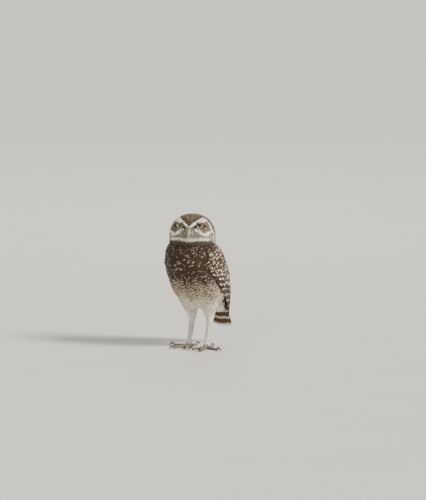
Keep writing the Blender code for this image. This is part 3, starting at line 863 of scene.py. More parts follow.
def tail_axes():
    root = np.array((0.0, *TAIL_ROOT))
    along = np.array((0.0, *TAIL_TIP)) - root
    length = float(np.linalg.norm(along))
    along /= length
    return root, along, np.cross((1.0, 0.0, 0.0), along), length


def tail_coordinates(points):
    """Across the tail, along it and out of its upper side, in millimetres."""
    root, along, outward, _ = tail_axes()
    away = points - root
    return away[:, 0], away @ along, away @ outward


def lie(points, parts):
    """Which way the feathers point at some places."""
    side, ahead, up = head_frame(points)
    from_bill = unit(np.stack((side, ahead - BILL_AHEAD + 6.0, up - BILL_UP), -1))
    eye_side = np.copysign(EYE_X, side)
    from_eye = np.stack((side - eye_side, np.zeros_like(side), up - EYE_Z), -1)
    near_eye = step(14.0, 8.5, np.linalg.norm(from_eye, axis=1)) * step(4.0, 10.0, ahead)
    along_brow = np.stack((np.sign(side) * 1.0, -0.5 + 0 * side, 0.45 + 0 * side), -1)
    brow = stroke(abs(side), up, BROW, (2.4,) * len(BROW)) * step(6.0, 10.0, ahead)
    falling = step(8.0, -22.0, ahead)[:, None] * (0.0, 0.0, -1.6)
    face = from_bill + falling + (unit(from_eye) - from_bill) * near_eye[:, None]
    face += (along_brow - face) * (brow * 0.8)[:, None]
    chin = step(-4.0, -9.0, up) * step(4.0, 12.0, ahead)
    face += (np.array((0.0, -0.2, -1.0)) + from_bill * (0.4, 0, 0) - face) * chin[:, None]
    turned = spun(np.stack((face[:, 0], -face[:, 1] + HEAD_AXIS_Y, face[:, 2]), -1), HEAD_YAW)
    head = turned - (0.0, HEAD_AXIS_Y, 0.0)
    azimuth = body_azimuth(points)
    front = step(120.0, 80.0, abs(azimuth))
    aside = np.clip(points[:, 0] / 30.0, -1, 1) * (0.25 * front - 0.22 * (1 - front))
    back = np.interp(points[:, 2], (55.0, 75.0, 100.0, 150.0), (2.4, 0.9, 0.38, 0.15))
    body = np.stack((aside, back + 0.25 * (1 - front), -np.ones(len(points))), -1)
    ways = np.where(np.isin(parts, HEAD_PARTS)[:, None], head, body)
    share = step(154.0, 160.0, points[:, 2])[:, None]
    ways = np.where((parts == NECK)[:, None], body + (head - body) * share, ways)
    _, along, _, _ = tail_axes()
    ways = np.where((parts == TAIL)[:, None], along, ways)
    tip = np.stack((np.sign(points[:, 0]) * 6.0, np.full(len(points), 72.0), np.full(len(points), 26.0)), -1)
    ways = np.where((parts == WING)[:, None], tip - points, ways)
    foot = np.stack((np.sign(points[:, 0]) * FOOT_X, np.full(len(points), FOOT_Y), points[:, 2] + 2), -1)
    ways = np.where((parts == TOE)[:, None], points - foot, ways)
    leg = np.stack((np.sign(points[:, 0]) * 0.05, np.full(len(points), -0.1), -np.ones(len(points))), -1)
    ways = np.where(((parts == THIGH) | (parts == SHANK))[:, None], leg, ways)
    return unit(ways)


# The skin

def coat_depth(points, parts):
    """How far the skin lies inside the outline."""
    _, ahead, up = head_frame(points)
    side = abs(head_frame(points)[0])
    face = step(4.0, 14.0, ahead) * step(20.0, 12.0, up)
    crown, body, wing = size("crown_coat"), size("body_coat"), size("wing_coat")
    head = crown + (size("face_coat") - crown) * face
    near_bill = step(9.0, 4.0, side) * step(18.0, 24.0, ahead)
    near_eye = step(12.0, 8.0, np.hypot(side - EYE_X, up - EYE_Z)) * step(4.0, 10.0, ahead)
    head = head + (0.9 - head) * np.maximum(near_bill, near_eye)
    neck_share = step(150.0, 163.0, points[:, 2])
    depth = np.full(len(points), body)
    depth = np.where(parts == NECK, body + (head - body) * neck_share, depth)
    depth = np.where(parts == HEAD, body + (head - body) * neck_share, depth)
    depth = np.where(parts == WING, wing * (1.0 + 0.9 * step(108.0, 102.5, points[:, 2])), depth)
    depth = np.where(parts == TAIL, body + 0.8, depth)
    depth = np.where(parts == THIGH, body * 0.6 * step(36.0, 56.0, points[:, 2]) + 0.8, depth)
    depth = np.where(parts == SHANK, size("leg_coat"), depth)
    depth = np.where(parts == TOE, 0.12, depth)
    depth = np.where(parts == BILL, 1.0, depth)
    return np.where(parts == EYE, 4.6, depth)


def evaluated(piece, name, **settings):
    """Applies one modifier and returns the new mesh."""
    for key, value in settings.pop("fields", {}).items():
        piece[key] = value
    modifier = piece.modifiers.new(name, name)
    for key, value in settings.items():
        setattr(modifier, key, value)
    bpy.context.view_layer.update()
    graph = bpy.context.evaluated_depsgraph_get()
    mesh = bpy.data.meshes.new_from_object(piece.evaluated_get(graph))
    piece.modifiers.clear()
    old = piece.data
    piece.data = mesh
    bpy.data.meshes.remove(old)
    return mesh


def mesh_arrays(mesh):
    """Vertices in owl millimetres and triangles of a mesh."""
    points = np.zeros(len(mesh.vertices) * 3, np.float32)
    mesh.vertices.foreach_get("co", points)
    mesh.calc_loop_triangles()
    triangles = np.zeros(len(mesh.loop_triangles) * 3, np.int32)
    mesh.loop_triangles.foreach_get("vertices", triangles)
    return points.reshape(-1, 3).astype(float) / MM - SHIFT, triangles.reshape(-1, 3)


def owners():
    """A search tree of the solids, and the part that each of its faces belongs to."""
    points, faces, parts = [], [], []
    for name in (*FLESH, *FILLERS):
        part = node_surface([name])
        part.verts.ensure_lookup_table()
        start = len(points)
        points += [tuple(np.array(v.co) / MM - SHIFT) for v in part.verts]
        for face in part.faces:
            faces.append([start + v.index for v in face.verts])
            parts.append(PART_OF.get(name, FILLERS.get(name)))
        part.free()
    return BVHTree.FromPolygons(points, faces), np.array(parts)


def parts_of(points, tree, face_parts):
    return face_parts[[tree.find_nearest(p)[2] for p in points.tolist()]]


def thickness_of(points, normals, tree):
    """How thick the body is under each vertex."""
    starts = (points - normals * 0.05).tolist()
    found = [tree.ray_cast(start, way)[3] for start, way in zip(starts, (-normals).tolist())]
    return np.array([40.0 if reach is None else reach for reach in found])


JOINT_SPACING, SCUTE_LENGTH = 6.4, 1.9


def toe_ridges(points, parts):
    """Scutes across the tops of the toes and the fronts of the shanks, in millimetres."""
    foot = np.stack((np.sign(points[:, 0]) * FOOT_X, np.full(len(points), FOOT_Y)), -1)
    reach = np.linalg.norm(points[:, :2] - foot, axis=1)
    clear = step(0.8, 2.4, points[:, 2]) * (parts == TOE) * step(5.0, 8.0, reach)
    top = step(2.4, 3.6, points[:, 2]) * (parts == TOE)
    joints = np.cos((reach - 2.0) * 2 * math.pi / JOINT_SPACING)
    plates = np.abs(np.sin(reach * math.pi / SCUTE_LENGTH)) ** 0.6
    return 0.26 * (joints - 0.5) * clear + 0.22 * (plates - 0.6) * top


def make_skin():
    """One skin in place of the flesh: drawn from the solids, smoothed and set in under the coat."""
    skin = bpy.data.objects.new("skin", mesh_of(node_surface((*FLESH, *FILLERS, *CLAWS), 0.32), "skin"))
    bpy.context.scene.collection.objects.link(skin)
    evaluated(skin, "REMESH", mode="VOXEL", voxel_size=bpy.context.scene.owl_sizes.voxel)
    mesh = skin.data
    points, triangles = mesh_arrays(mesh)
    edges = np.zeros(len(mesh.edges) * 2, np.int32)
    mesh.edges.foreach_get("vertices", edges)
    edges = edges.reshape(-1, 2)
    points = relaxed(points, edges, np.full(len(points), 0.6), 24, swell=0.94)
    parts = parts_of(points, *owners())
    outer = Surface(points, triangles)
    normals = outer.facts["normal"]
    thickness = thickness_of(points, normals, outer.tree)
    depth = np.minimum(coat_depth(points, parts), 0.42 * thickness)
    depth = relaxed(depth[:, None].repeat(3, 1), edges, np.full(len(points), 0.5), 6)[:, 0]
    sunk = points - normals * (depth - toe_ridges(points, parts))[:, None]
    sunk = relaxed(sunk, edges, np.where(parts == TOE, 0.0, 0.3), 4)
    mesh.vertices.foreach_set("co", placed(sunk).astype(np.float32).ravel())
    mesh.update()
    write_attribute(mesh, "sink", "FLOAT_VECTOR", np.stack((depth, parts * 1.0, 0 * depth), 1))
    body = skin.vertex_groups.new(name="body")
    fine = (parts != TOE) & (parts != SHANK)
    body.add(np.nonzero(fine)[0].tolist(), 1.0, "REPLACE")
    evaluated(skin, "DECIMATE", ratio=bpy.context.scene.owl_sizes.skin_share, vertex_group="body")
    skin.vertex_groups.clear()
    return skin


# The wing's front edge in degrees from straight ahead, by height, and how far the flank covers it
EDGE_HEIGHTS, EDGE_AZIMUTHS = (88.0, 108.0, 126.0, 141.0), (80.5, 61.5, 50.0, 53.0)
FLANK_COVER, FLANK_TOP = 13.0, 136.0


def flanked(points, parts):
    """The parts, with the wing's front edge given to the body, whose feathers cover it."""
    edge = np.interp(points[:, 2], EDGE_HEIGHTS, EDGE_AZIMUTHS) + FLANK_COVER
    covered = (parts == WING) & (abs(body_azimuth(points)) < edge) & (points[:, 2] < FLANK_TOP)
    return np.where(covered, TRUNK, parts)


def skin_surface(skin):
    """The finished skin with its coat depth and its parts."""
    mesh = skin.data
    points, triangles = mesh_arrays(mesh)
    known = np.zeros(len(points) * 3, np.float32)
    mesh.attributes["sink"].data.foreach_get("vector", known)
    known = known.reshape(-1, 3)
    parts = flanked(points, parts_of(points, *owners()))
    mesh.attributes.remove(mesh.attributes["sink"])
    return Surface(points, triangles, depth=known[:, 0].astype(float), part=parts)


def opening(side, up):
    """Whether a place in front of an eye, out from its middle and up, is between the lids."""
    lower = -3.5 * math.sqrt(max(0.0, 1 - (side / 5.4) ** 2))
    return abs(side) < 5.2 and lower < up < lid_line(side)


def opening_reach(turn):
    """How far the opening reaches from the eye's middle in a direction."""
    reach = 0.3
    while opening(reach * math.cos(turn), reach * math.sin(turn)) and reach < 6.6:
        reach += 0.05
    return reach


LID_RADIUS, LID_THICKNESS = 8.32, 0.34
LID_SEGMENTS, LID_RINGS, LID_SLOPE = 56, 15, math.radians(107.0)
LID_FOLDS = 1.8  # the folds end this many times nearer the edge than the lid's hidden root
BARE_LID = 0.75
LID_BURIED = 0.3  # feathers grow on a lid down to this far under the face's skin
EYE_OUTWARD, EYE_UPWARD = math.radians(-1.0), math.radians(8.5)
LID_PUFF, PUFF_SLOPES = 1.7, (math.radians(26.0), math.radians(96.0))  # the full lower lid


def eye_matrix(side):
    """From an eye's own millimetres (out to the owl's side, ahead, up) to the frame's metres."""
    centre = Vector((middle_of(f"eye_{dict(SIDES)[side]}")) * MM)
    turn = HEAD_YAW + side * EYE_OUTWARD
    axes = Matrix.Rotation(turn, 4, "Z") @ Matrix.Rotation(-EYE_UPWARD, 4, "X")
    return Matrix.Translation(centre) @ axes @ Matrix.Diagonal((side, -1.0, 1.0, 1.0)) @ Matrix.Scale(MM, 4)


def lid_shape(side):
    """A shell over the eye with the opening left free, rolled in at its edge."""
    rings = []
    turns = [2 * math.pi * i / LID_SEGMENTS for i in range(LID_SEGMENTS)]
    reaches = [opening_reach(turn) for turn in turns]
    for number in range(LID_RINGS + 1):
        share = number / LID_RINGS
        ring = []
        for turn, reach in zip(turns, reaches):
            start = math.asin(min(reach / LID_RADIUS, 0.99))
            slope = start + (LID_SLOPE - start) * share
            near = min(share * LID_FOLDS, 1.0)
            fold = 0.22 * math.sin(near * 9.0) * (1 - near) * (1 if math.sin(turn) > 0 else 0.5)
            radius = LID_RADIUS + LID_THICKNESS * (1 - math.exp(-9.0 * near)) + fold
            swollen = min(max((slope - PUFF_SLOPES[0]) / (PUFF_SLOPES[1] - PUFF_SLOPES[0]), 0.0), 1.0)
            radius += LID_PUFF * math.sin(math.pi * swollen) ** 2 * max(0.0, -math.sin(turn))
            out = radius * math.sin(slope)
            ring.append((out * math.cos(turn), radius * math.cos(slope), out * math.sin(turn)))
        rings.append(ring)
    inner = [Vector(p) * ((LID_RADIUS - 0.35) / Vector(p).length) for p in rings[0]]
    deep = [Vector(p) * ((LID_RADIUS - 0.5) / Vector(p).length) for p in rings[-1]]
    shape, loops = lofted([inner, *rings, deep], closed=False)
    bmesh.ops.bridge_loops(shape, edges=[
        shape.edges.get(pair) for loop in (loops[0], loops[-1]) for pair in zip(loop, loop[1:] + loop[:1])])
    bmesh.ops.transform(shape, matrix=eye_matrix(side), verts=shape.verts)
    bmesh.ops.recalc_face_normals(shape, faces=shape.faces)
    return shape


def lid_surface(side, lid, face):
    """The outside of an eyelid clear of its bare edge, as a surface for the smallest feathers."""
    held = mesh_of(lid.copy(), "held")
    points, triangles = mesh_arrays(held)
    bpy.data.meshes.remove(held)
    count = len(points)
    surface = Surface(points, triangles, depth=np.full(count, 0.45), part=np.full(count, HEAD))
    back = np.array(eye_matrix(side).inverted())
    middles = placed(points[triangles].mean(1)) @ back[:3, :3].T + back[:3, 3]
    centre = middle_of(f"eye_{dict(SIDES)[side]}") - SHIFT
    outside = (surface.facing * (points[triangles].mean(1) - centre)).sum(1) > 0
    turns = np.arctan2(middles[:, 2], middles[:, 0])
    reach = np.hypot(middles[:, 0], middles[:, 2])
    bare = np.array([opening_reach(turn) for turn in turns]) + BARE_LID
    spots = points[triangles].mean(1)
    below, where = face.nearest(spots)
    shown = dot(spots - below, face.read("normal", where))[:, 0] > -LID_BURIED
    return surface, outside & shown & ((reach > bare) | (middles[:, 1] < 0.0))


def dress_skin(skin, surface):
    """Colours the skin as the coat over it, and joins the eyelids to it."""
    mesh = skin.data
    look = plumage(surface.points, surface.facts["part"])
    write_attribute(mesh, "ground", "FLOAT_COLOR", look.mean())
    bare = surface.facts["part"] == TOE
    faces_bare = bare[surface.triangles].all(1)
    slots = np.zeros(len(mesh.polygons), np.int32)
    owner = np.zeros(len(mesh.loop_triangles), np.int32)
    mesh.loop_triangles.foreach_get("polygon_index", owner)
    slots[owner[faces_bare]] = 1
    mesh.polygons.foreach_set("material_index", slots)
    whole = bmesh.new()
    whole.from_mesh(mesh)
    lids = []
    for side, _ in SIDES:
        lid = lid_shape(side)
        lids.append(lid_surface(side, lid, surface))
        for face in lid.faces:
            face.material_index = 2
        held = mesh_of(lid, "held")
        whole.from_mesh(held)
        bpy.data.meshes.remove(held)
    whole.to_mesh(mesh)
    whole.free()
    for entry in (shared(under_material), shared(toe_material), shared(lid_material)):
        mesh.materials.append(entry)
    mesh.shade_smooth()
    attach(skin, "root")
    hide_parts(*FLESH)
    return lids


# Feathers

class Vane:
    """One feather as a closed thin shape with a worn edge, to be laid along many spines."""

    def __init__(self, stations, widths, across, thickness, camber, worn=0.0, blunt=0.0):
        self.stations = np.array(stations)
        self.widths = np.array(widths)
        self.camber = camber
        tops = np.linspace(-1.0, 1.0, across)
        outline = [(a, thickness * (1 - a * a)) for a in tops]
        outline += [(a, -0.6 * thickness) for a in tops[-2:0:-2]]
        rings = [[(a, k, b) for a, b in outline] for k in range(len(stations))]
        shape, _ = lofted(rings)
        self.points = np.array([tuple(v.co) for v in shape.verts])
        shape.verts.index_update()
        self.faces = [[v.index for v in face.verts] for face in shape.faces]
        shape.free()
        self.rows = self.points[:, 1].round().astype(int)
        self.across = across
        self.columns = ((self.points[:, 0] + 1) * (across - 1) / 2).round().astype(int)
        late = np.clip(self.rows - (len(stations) - 3), 0, 2) / 2
        self.worn, self.blunt = worn * late, blunt * late * self.points[:, 0] ** 2

    def slide(self, chance):
        """How far each corner of each feather lies back from its station: every tip frays its own way."""
        ragged = np.random.default_rng(len(chance)).random((len(chance), self.across)) ** 1.5
        return -(self.worn * ragged[:, self.columns] + self.blunt)


BODY_VANE = Vane(
    (0.0, 0.3, 0.55, 0.74, 0.88, 1.0), (0.16, 0.78, 1.0, 1.0, 0.90, 0.62), 7, 0.05, 0.08, 0.4, 0.95)
CROWN_VANE = Vane((0.0, 0.35, 0.7, 0.9, 1.0), (0.25, 1.0, 0.92, 0.70, 0.40), 5, 0.045, 0.10, 0.9, 0.5)
HAIR_VANE = Vane((0.0, 0.45, 0.8, 1.0), (0.5, 1.0, 0.7, 0.1), 3, 0.05, 0.05)
COVERT_VANE = Vane(
    (0.0, 0.2, 0.42, 0.62, 0.8, 0.92, 1.0), (0.20, 0.66, 0.92, 1.0, 0.92, 0.72, 0.40), 7, 0.08, 0.10, 0.5, 0.5)
QUILL_STATIONS = (0.0, 0.08, 0.18, 0.3, 0.42, 0.54, 0.66, 0.77, 0.86, 0.93, 0.975, 1.0)
QUILL_VANE = Vane(
    QUILL_STATIONS, (0.20, 0.55, 0.78, 0.92, 1.0, 1.0, 0.98, 0.94, 0.86, 0.68, 0.42, 0.12), 7, 0.12, 0.07)


VANE_EDGE = math.radians(60.0)
LOOSE_STEPS = 2  # so many of a feather's last steps may lie past the end of the skin


class Spines:
    """The middle lines of many feathers, with the way across and the way out at each station."""

    def __init__(self, points, normals):
        self.points = points
        along = np.gradient(points, axis=1)
        self.side = unit(np.cross(along, normals))
        self.out = unit(np.cross(self.side, along))

    def only(self, kept):
        self.points, self.side, self.out = self.points[kept], self.side[kept], self.out[kept]
        return self

    def tilt(self, angles):
        """Rolls each feather about its own middle line."""
        c, s = np.cos(angles)[:, None, None], np.sin(angles)[:, None, None]
        self.side, self.out = self.side * c + self.out * s, self.out * c - self.side * s


def grow_spines(surface, places, where, length, vane, top, rng, sway=0.16, loose=LOOSE_STEPS):
    """Lines that follow the lie of the coat from their roots and rise to the top of the coat."""
    parts = surface.part_at(where)
    normal = unit(surface.read("normal", where))
    depth = surface.read("depth", where)
    turn = rng.normal(0.0, sway, len(places))[:, None]
    points, normals, depths = [places], [normal], [depth]
    gaps = np.diff(vane.stations)
    held = np.ones(len(places), bool)
    for number, gap in enumerate(gaps):
        way = lie(places, parts)
        way = unit(way - normal * dot(way, normal))
        way = way * np.cos(turn) + np.cross(normal, way) * np.sin(turn)
        target = places + way * (length * gap)[:, None]
        found, where = surface.nearest(target)
        fresh = unit(surface.read("normal", where))
        past = (dot(fresh, normal) < 0.3) | (np.linalg.norm(found - target, axis=1) > 2.5)[:, None]
        if number < len(gaps) - loose:
            held &= ~past[:, 0]
        places = np.where(past, target, found)
        normal = np.where(past, normal, unit(fresh + normal * 0.6))
        depth = np.where(past[:, 0], depth, surface.read("depth", where))
        points.append(places)
        normals.append(normal)
        depths.append(depth)
    points, normals, depths = (np.stack(rows, 1) for rows in (points, normals, depths))
    rise = 0.06 + (top[:, None] - 0.06) * vane.stations[None] ** 0.9
    spines = Spines(points + normals * (depths * rise)[:, :, None], normals)
    steps = np.linalg.norm(np.diff(spines.points, axis=1), axis=2) / (length[:, None] * gaps)
    even = (steps > 0.45) & (steps < 2.0) & (dot(normals[:, 1:], normals[:, :-1])[..., 0] > 0.6)
    held &= even.all(1)
    return spines.only(held), parts, held


def lay_vanes(name, vane, spines, half_widths, look, chance, length, unwrap, counts=3.0, patch=0.003, phase=0.0):
    """Joins one copy of a vane along every spine into a piece, with its markings and its map."""
    number, corners = len(half_widths), len(vane.points)
    a, b, rows = vane.points[:, 0], vane.points[:, 2], vane.rows
    wide = half_widths[:, None] * vane.widths[rows][None]
    bow = vane.camber * wide * a * a
    before = spines.points[:, np.maximum(rows - 1, 0)]
    placed_points = (
        spines.points[:, rows]
        + (spines.points[:, rows] - before) * vane.slide(chance)[:, :, None]
        + spines.side[:, rows] * (wide * a)[:, :, None]
        + spines.out[:, rows] * (b - bow)[:, :, None]
    )
    mesh = bpy.data.meshes.new(name)
    sizes = np.array([len(face) for face in vane.faces])
    loops = np.concatenate([np.array(face) for face in vane.faces])
    mesh.vertices.add(number * corners)
    mesh.vertices.foreach_set("co", placed(placed_points).astype(np.float32).ravel())
    mesh.loops.add(number * len(loops))
    every = (loops[None] + corners * np.arange(number)[:, None]).ravel()
    mesh.loops.foreach_set("vertex_index", every.astype(np.int32))
    mesh.polygons.add(number * len(sizes))
    starts = np.concatenate(([0], np.cumsum(np.tile(sizes, number))[:-1]))
    mesh.polygons.foreach_set("loop_start", starts.astype(np.int32))
    mesh.update(calc_edges=True)
    along = vane.stations[rows]
    ones = np.ones((number, corners))
    write_attribute(mesh, "vane", "FLOAT_VECTOR", np.stack((ones * a, ones * along, ones * chance[:, None]), -1))
    write_attribute(mesh, "ground", "FLOAT_COLOR", np.repeat(look.ground, corners, 0))
    write_attribute(mesh, "mark", "FLOAT_COLOR", np.repeat(look.mark, corners, 0))
    write_attribute(mesh, "form", "FLOAT_VECTOR", np.repeat(look.form, corners, 0))
    scale = np.stack((look.pale, np.broadcast_to(counts, number), length), -1)
    write_attribute(mesh, "scale", "FLOAT_VECTOR", np.repeat(scale, corners, 0))
    write_attribute(mesh, "phase", "FLOAT", np.repeat(phase + chance * 0.12, corners))
    centre = unwrap(spines.points[:, 0])
    local = np.stack((ones * a * 0.5, ones * (along - 0.5)), -1) * np.broadcast_to(patch, 2)
    flat = (centre[:, None] + local).reshape(-1, 2)
    chart = mesh.uv_layers.new(name="OFBake")
    chart.data.foreach_set("uv", flat[every].astype(np.float32).ravel())
    piece = finish_piece(name, mesh, [shared(plumage_material)])
    mesh.set_sharp_from_angle(angle=VANE_EDGE)
    return piece


def fitted(flat):
    """A map fitted into the unit square, with a margin."""
    low, high = flat.min(0), flat.max(0)
    return 0.02 + 0.96 * (flat - low) / np.maximum(high - low, 1e-6)


def round_unwrap(points):
    """Unrolls places round the body's upright axis."""
    return fitted(np.stack((body_azimuth(points), points[:, 2]), -1))


def crown_unwrap(points):
    """Spreads the head flat from the top of the crown."""
    side, ahead, up = head_frame(points)
    slope = np.arccos(np.clip((up + 8.0) / np.linalg.norm((side, ahead, up + 8.0), axis=0), -1, 1))
    turn = np.arctan2(side, ahead)
    return fitted(np.stack((slope * np.sin(turn), slope * np.cos(turn)), -1))


def leg_unwrap(points):
    """Unrolls both legs round their own axes, side by side."""
    side = np.sign(points[:, 0])
    turn = np.arctan2(points[:, 0] - side * FOOT_X, FOOT_Y + 5.0 - points[:, 1])
    return fitted(np.stack((turn + side * 3.6, points[:, 2]), -1))


def varied(look, rng, plain):
    """Feathers differ a little in tone and in their marks, and a share of them is plain."""
    count = len(look.pale)
    look.ground *= rng.normal(1.0, 0.12, (count, 1)).clip(0.7, 1.35)
    look.pale += rng.normal(0.0, 0.10, count)
    look.form[:, ::2] *= (rng.random(count) > plain)[:, None]


def plant(name, surface, wanted, spacing, length, aspect, vane, unwrap, seed, top=0.95,
          sway=0.16, plain=0.1, loose=LOOSE_STEPS):
    """Covers part of the skin with feathers of one kind."""
    rng = np.random.default_rng(seed)
    places, where = surface.scatter(wanted, spacing, rng)
    long = length(places) if callable(length) else np.full(len(places), float(length))
    long = long * rng.normal(1.0, 0.09, len(places)).clip(0.75, 1.25)
    tops = top * rng.uniform(0.78, 1.03, len(places))
    spines, parts, kept = grow_spines(surface, places, where, long, vane, tops, rng, sway, loose)
    parts, long = parts[kept], long[kept]
    spines.tilt(rng.normal(0.0, 0.10, len(long)))
    look = plumage(spines.points[:, -2], parts)
    varied(look, rng, plain)
    half = long * aspect * rng.uniform(0.88, 1.12, len(long)) / 2
    chance = rng.random(len(long))
    return lay_vanes(name, vane, spines, half, look, chance, long, unwrap)


def open_face(surface):
    """Triangles of the head that are clear of the eyes and the bill."""
    middles = surface.points[surface.triangles].mean(1)
    side, ahead, up = head_frame(middles)
    eye = np.hypot(abs(side) - EYE_X, up - EYE_Z) < 6.2
    bill = (abs(side) < 4.2) & (up < 7.0) & (up > -5.0)
    return ~((eye | bill) & (ahead > 12.0))


class WingBlade:
    """The outside of a folded wing: across it from the front edge, down it from the shoulder."""

    def __init__(self, side, word):
        shape = node_surface([f"wing_{word}"])
        points = np.array([tuple(v.co) for v in shape.verts]) / MM - SHIFT
        faces = [[v.index for v in face.verts] for face in shape.faces]
        shape.free()
        self.tree = BVHTree.FromPolygons(points.tolist(), faces)
        self.side = side
        levels = points[:, 2].round(1)
        self.heights = np.unique(levels)
        angles = np.arctan2(points[:, 0] * side, -points[:, 1])
        self.front = np.array([angles[levels == z].min() for z in self.heights])
        self.rear = np.array([angles[levels == z].max() for z in self.heights])

    def place(self, across, down, sunk):
        """Points and normals on the blade, sunk below its surface by some millimetres."""
        low, high = self.heights[0], self.heights[-1]
        z = np.clip(high + (low - high) * down, low + 0.1, high - 0.1)
        front = np.interp(z, self.heights, self.front)
        rear = np.interp(z, self.heights, self.rear)
        angle = front + (rear - front) * np.clip(across, 0.02, 0.98)
        outward = np.stack((np.sin(angle) * self.side, -np.cos(angle), 0 * z), -1)
        starts = outward * 110.0 + np.stack((0 * z, 0 * z, z), -1)
        flat = outward.reshape(-1, 3)
        hits = [self.tree.ray_cast(s, w) for s, w in zip(starts.reshape(-1, 3).tolist(), (-flat).tolist())]
        points = np.array([hit[0] if hit[0] else (np.nan,) * 3 for hit in hits]).reshape(starts.shape)
        inside = front + (rear - front) * np.clip(across, 0.16, 0.86)
        inward = -np.stack((np.sin(inside) * self.side, -np.cos(inside), 0 * z), -1).reshape(-1, 3)
        starts = inward * -110.0 + np.stack((0 * z, 0 * z, z), -1).reshape(-1, 3)
        hits = [self.tree.ray_cast(s, w)[1] for s, w in zip(starts.tolist(), inward.tolist())]
        normals = np.array([hit if hit else -w for hit, w in zip(hits, inward)]).reshape(points.shape)
        normals = unit(normals + outward * 0.4)
        over = high + (low - high) * down
        points[..., 2] += np.where(over < low, over - low, 0.0)
        return points - normals * np.broadcast_to(sunk, down.shape)[..., None], normals


WING_LENGTH = 123.0
# Rows of median and greater coverts: how far down the wing, length, width, pale share
COVERT_ROWS = ((0.255, 14.0, 8.0, 0.95), (0.295, 16.5, 8.6, 1.0), (0.34, 19.5, 9.4, 1.05))
COVERT_SPAN = (0.12, 0.93)
# The tips of the primaries, across the wing and down it, from the innermost to the outermost
PRIMARY_TIPS = ((0.80, 0.86), (0.77, 0.89), (0.73, 0.92), (0.68, 0.95), (0.62, 0.975), (0.55, 0.99),
                (0.47, 1.0), (0.37, 0.985), (0.24, 0.95), (0.10, 0.89))
SECONDARIES = 14
WING_BARS = 13.0
SHINGLE = 0.08  # roll of each quill and covert, so that its outer edge lies over the next one
SHOULDER_FOOT = 110.0


def blade_rows(blade, rng):
    """Roots, ways and sizes of the coverts of one wing."""
    roots = []
    first, last = COVERT_SPAN
    for number, (down, length, width, pale) in enumerate(COVERT_ROWS):
        ends = blade.place(np.array((first, 0.5, last)), np.full(3, down + 0.04), 0.0)[0]
        reach = np.linalg.norm(np.diff(ends, axis=0), axis=1).sum()
        count = max(int(reach / (width * 0.62)), 3)
        for i in range(count + 1):
            across = first + (last - first) * (i + 0.5 * (number % 2)) / (count + 0.5)
            roots.append((across, down, length, width, pale))
    roots = np.array(roots)
    roots[:, 0] += rng.normal(0, 0.008, len(roots))
    roots[:, 1] += rng.normal(0, 0.003, len(roots))
    roots[:, 2:4] *= rng.normal(1.0, 0.05, (len(roots), 2))
    return roots


def make_coverts(side, word):
    """Median and greater coverts of one wing."""
    rng = np.random.default_rng(40 + side)
    blade = WingBlade(side, word)
    across, down, length, width, pale = blade_rows(blade, rng).T
    vane = COVERT_VANE
    rows_down = down[:, None] + vane.stations[None] * (length / WING_LENGTH)[:, None]
    drift = rng.normal(0.0, 0.012, len(across))[:, None] * vane.stations[None]
    sunk = 1.9 - 1.8 * vane.stations[None] ** 0.8 + rng.uniform(-0.1, 0.2, (len(across), 1))
    points, normals = blade.place(across[:, None] + drift, rows_down, sunk)
    steps = np.linalg.norm(np.diff(points, axis=1), axis=2) / (length[:, None] * np.diff(vane.stations))
    good = ~np.isnan(points).any((1, 2)) & (steps < 1.6).all(1)
    spines = Spines(points[good], normals[good])
    spines.tilt(side * SHINGLE + rng.normal(0.0, 0.03, good.sum()))
    parts = np.full(good.sum(), WING)
    look = plumage(points[good][:, -2], parts)
    look.pale = pale[good]
    varied(look, rng, 0.06)
    chance = rng.random(good.sum())
    lay_vanes(f"greater_coverts_{word}", vane, spines, width[good] / 2, look, chance, length[good],
              round_unwrap)
    return blade


def quill_table():
    """Quills of a folded wing: root and tip across and down it, half width and depth."""
    table = []
    for i, (tip_across, tip_down) in enumerate(PRIMARY_TIPS):
        table.append((0.38 - 0.028 * i, 0.42 - 0.004 * i, tip_across, tip_down, 5.2, 1.05 + 0.045 * i))
    for i in range(SECONDARIES):
        table.append((0.92 - 0.055 * i, 0.24 + 0.012 * i, 0.90 - 0.012 * i, 0.52 + 0.024 * i,
                      6.4, 0.35 + 0.055 * i))
    return np.array(table)


def make_quills(side, word, blade):
    """Primaries, secondaries and tertials of one wing."""
    rng = np.random.default_rng(60 + side)
    table = quill_table()
    root_u, root_v, tip_u, tip_v, half, sunk = table.T
    share = QUILL_VANE.stations[None]
    across = root_u[:, None] + (tip_u - root_u)[:, None] * share
    down = root_v[:, None] + (tip_v - root_v)[:, None] * share
    deep = sunk[:, None] + (0.25 + 0.3 * rng.random((len(table), 1))) * (1 - share)
    points, normals = blade.place(across, down, deep)
    spines = Spines(points, normals)
    spines.tilt(np.full(len(table), side * SHINGLE))
    length = np.linalg.norm(np.diff(points, axis=1), axis=2).sum(1)
    look = plumage(points[:, -3], np.full(len(table), WING))
    every = np.ones(len(table))
    look.tint(every, ground=colour("brown") * 1.05, mark=colour("buff") * 0.95, form=(0.0, 1.0, 0.0), pale=0.18)
    look.ground *= rng.normal(1.0, 0.08, (len(table), 1))
    rooms = (np.arange(len(table)) + 0.5) / len(table)
    chart = np.stack((rooms, np.full(len(table), 0.5)), -1)
    lay_vanes(f"wing_quills_{word}", QUILL_VANE, spines, half, look, rng.random(len(table)), length,
              lambda _: chart, counts=(tip_v - root_v) * WING_BARS,
              patch=(0.8 / len(table), 0.94), phase=root_v * WING_BARS)


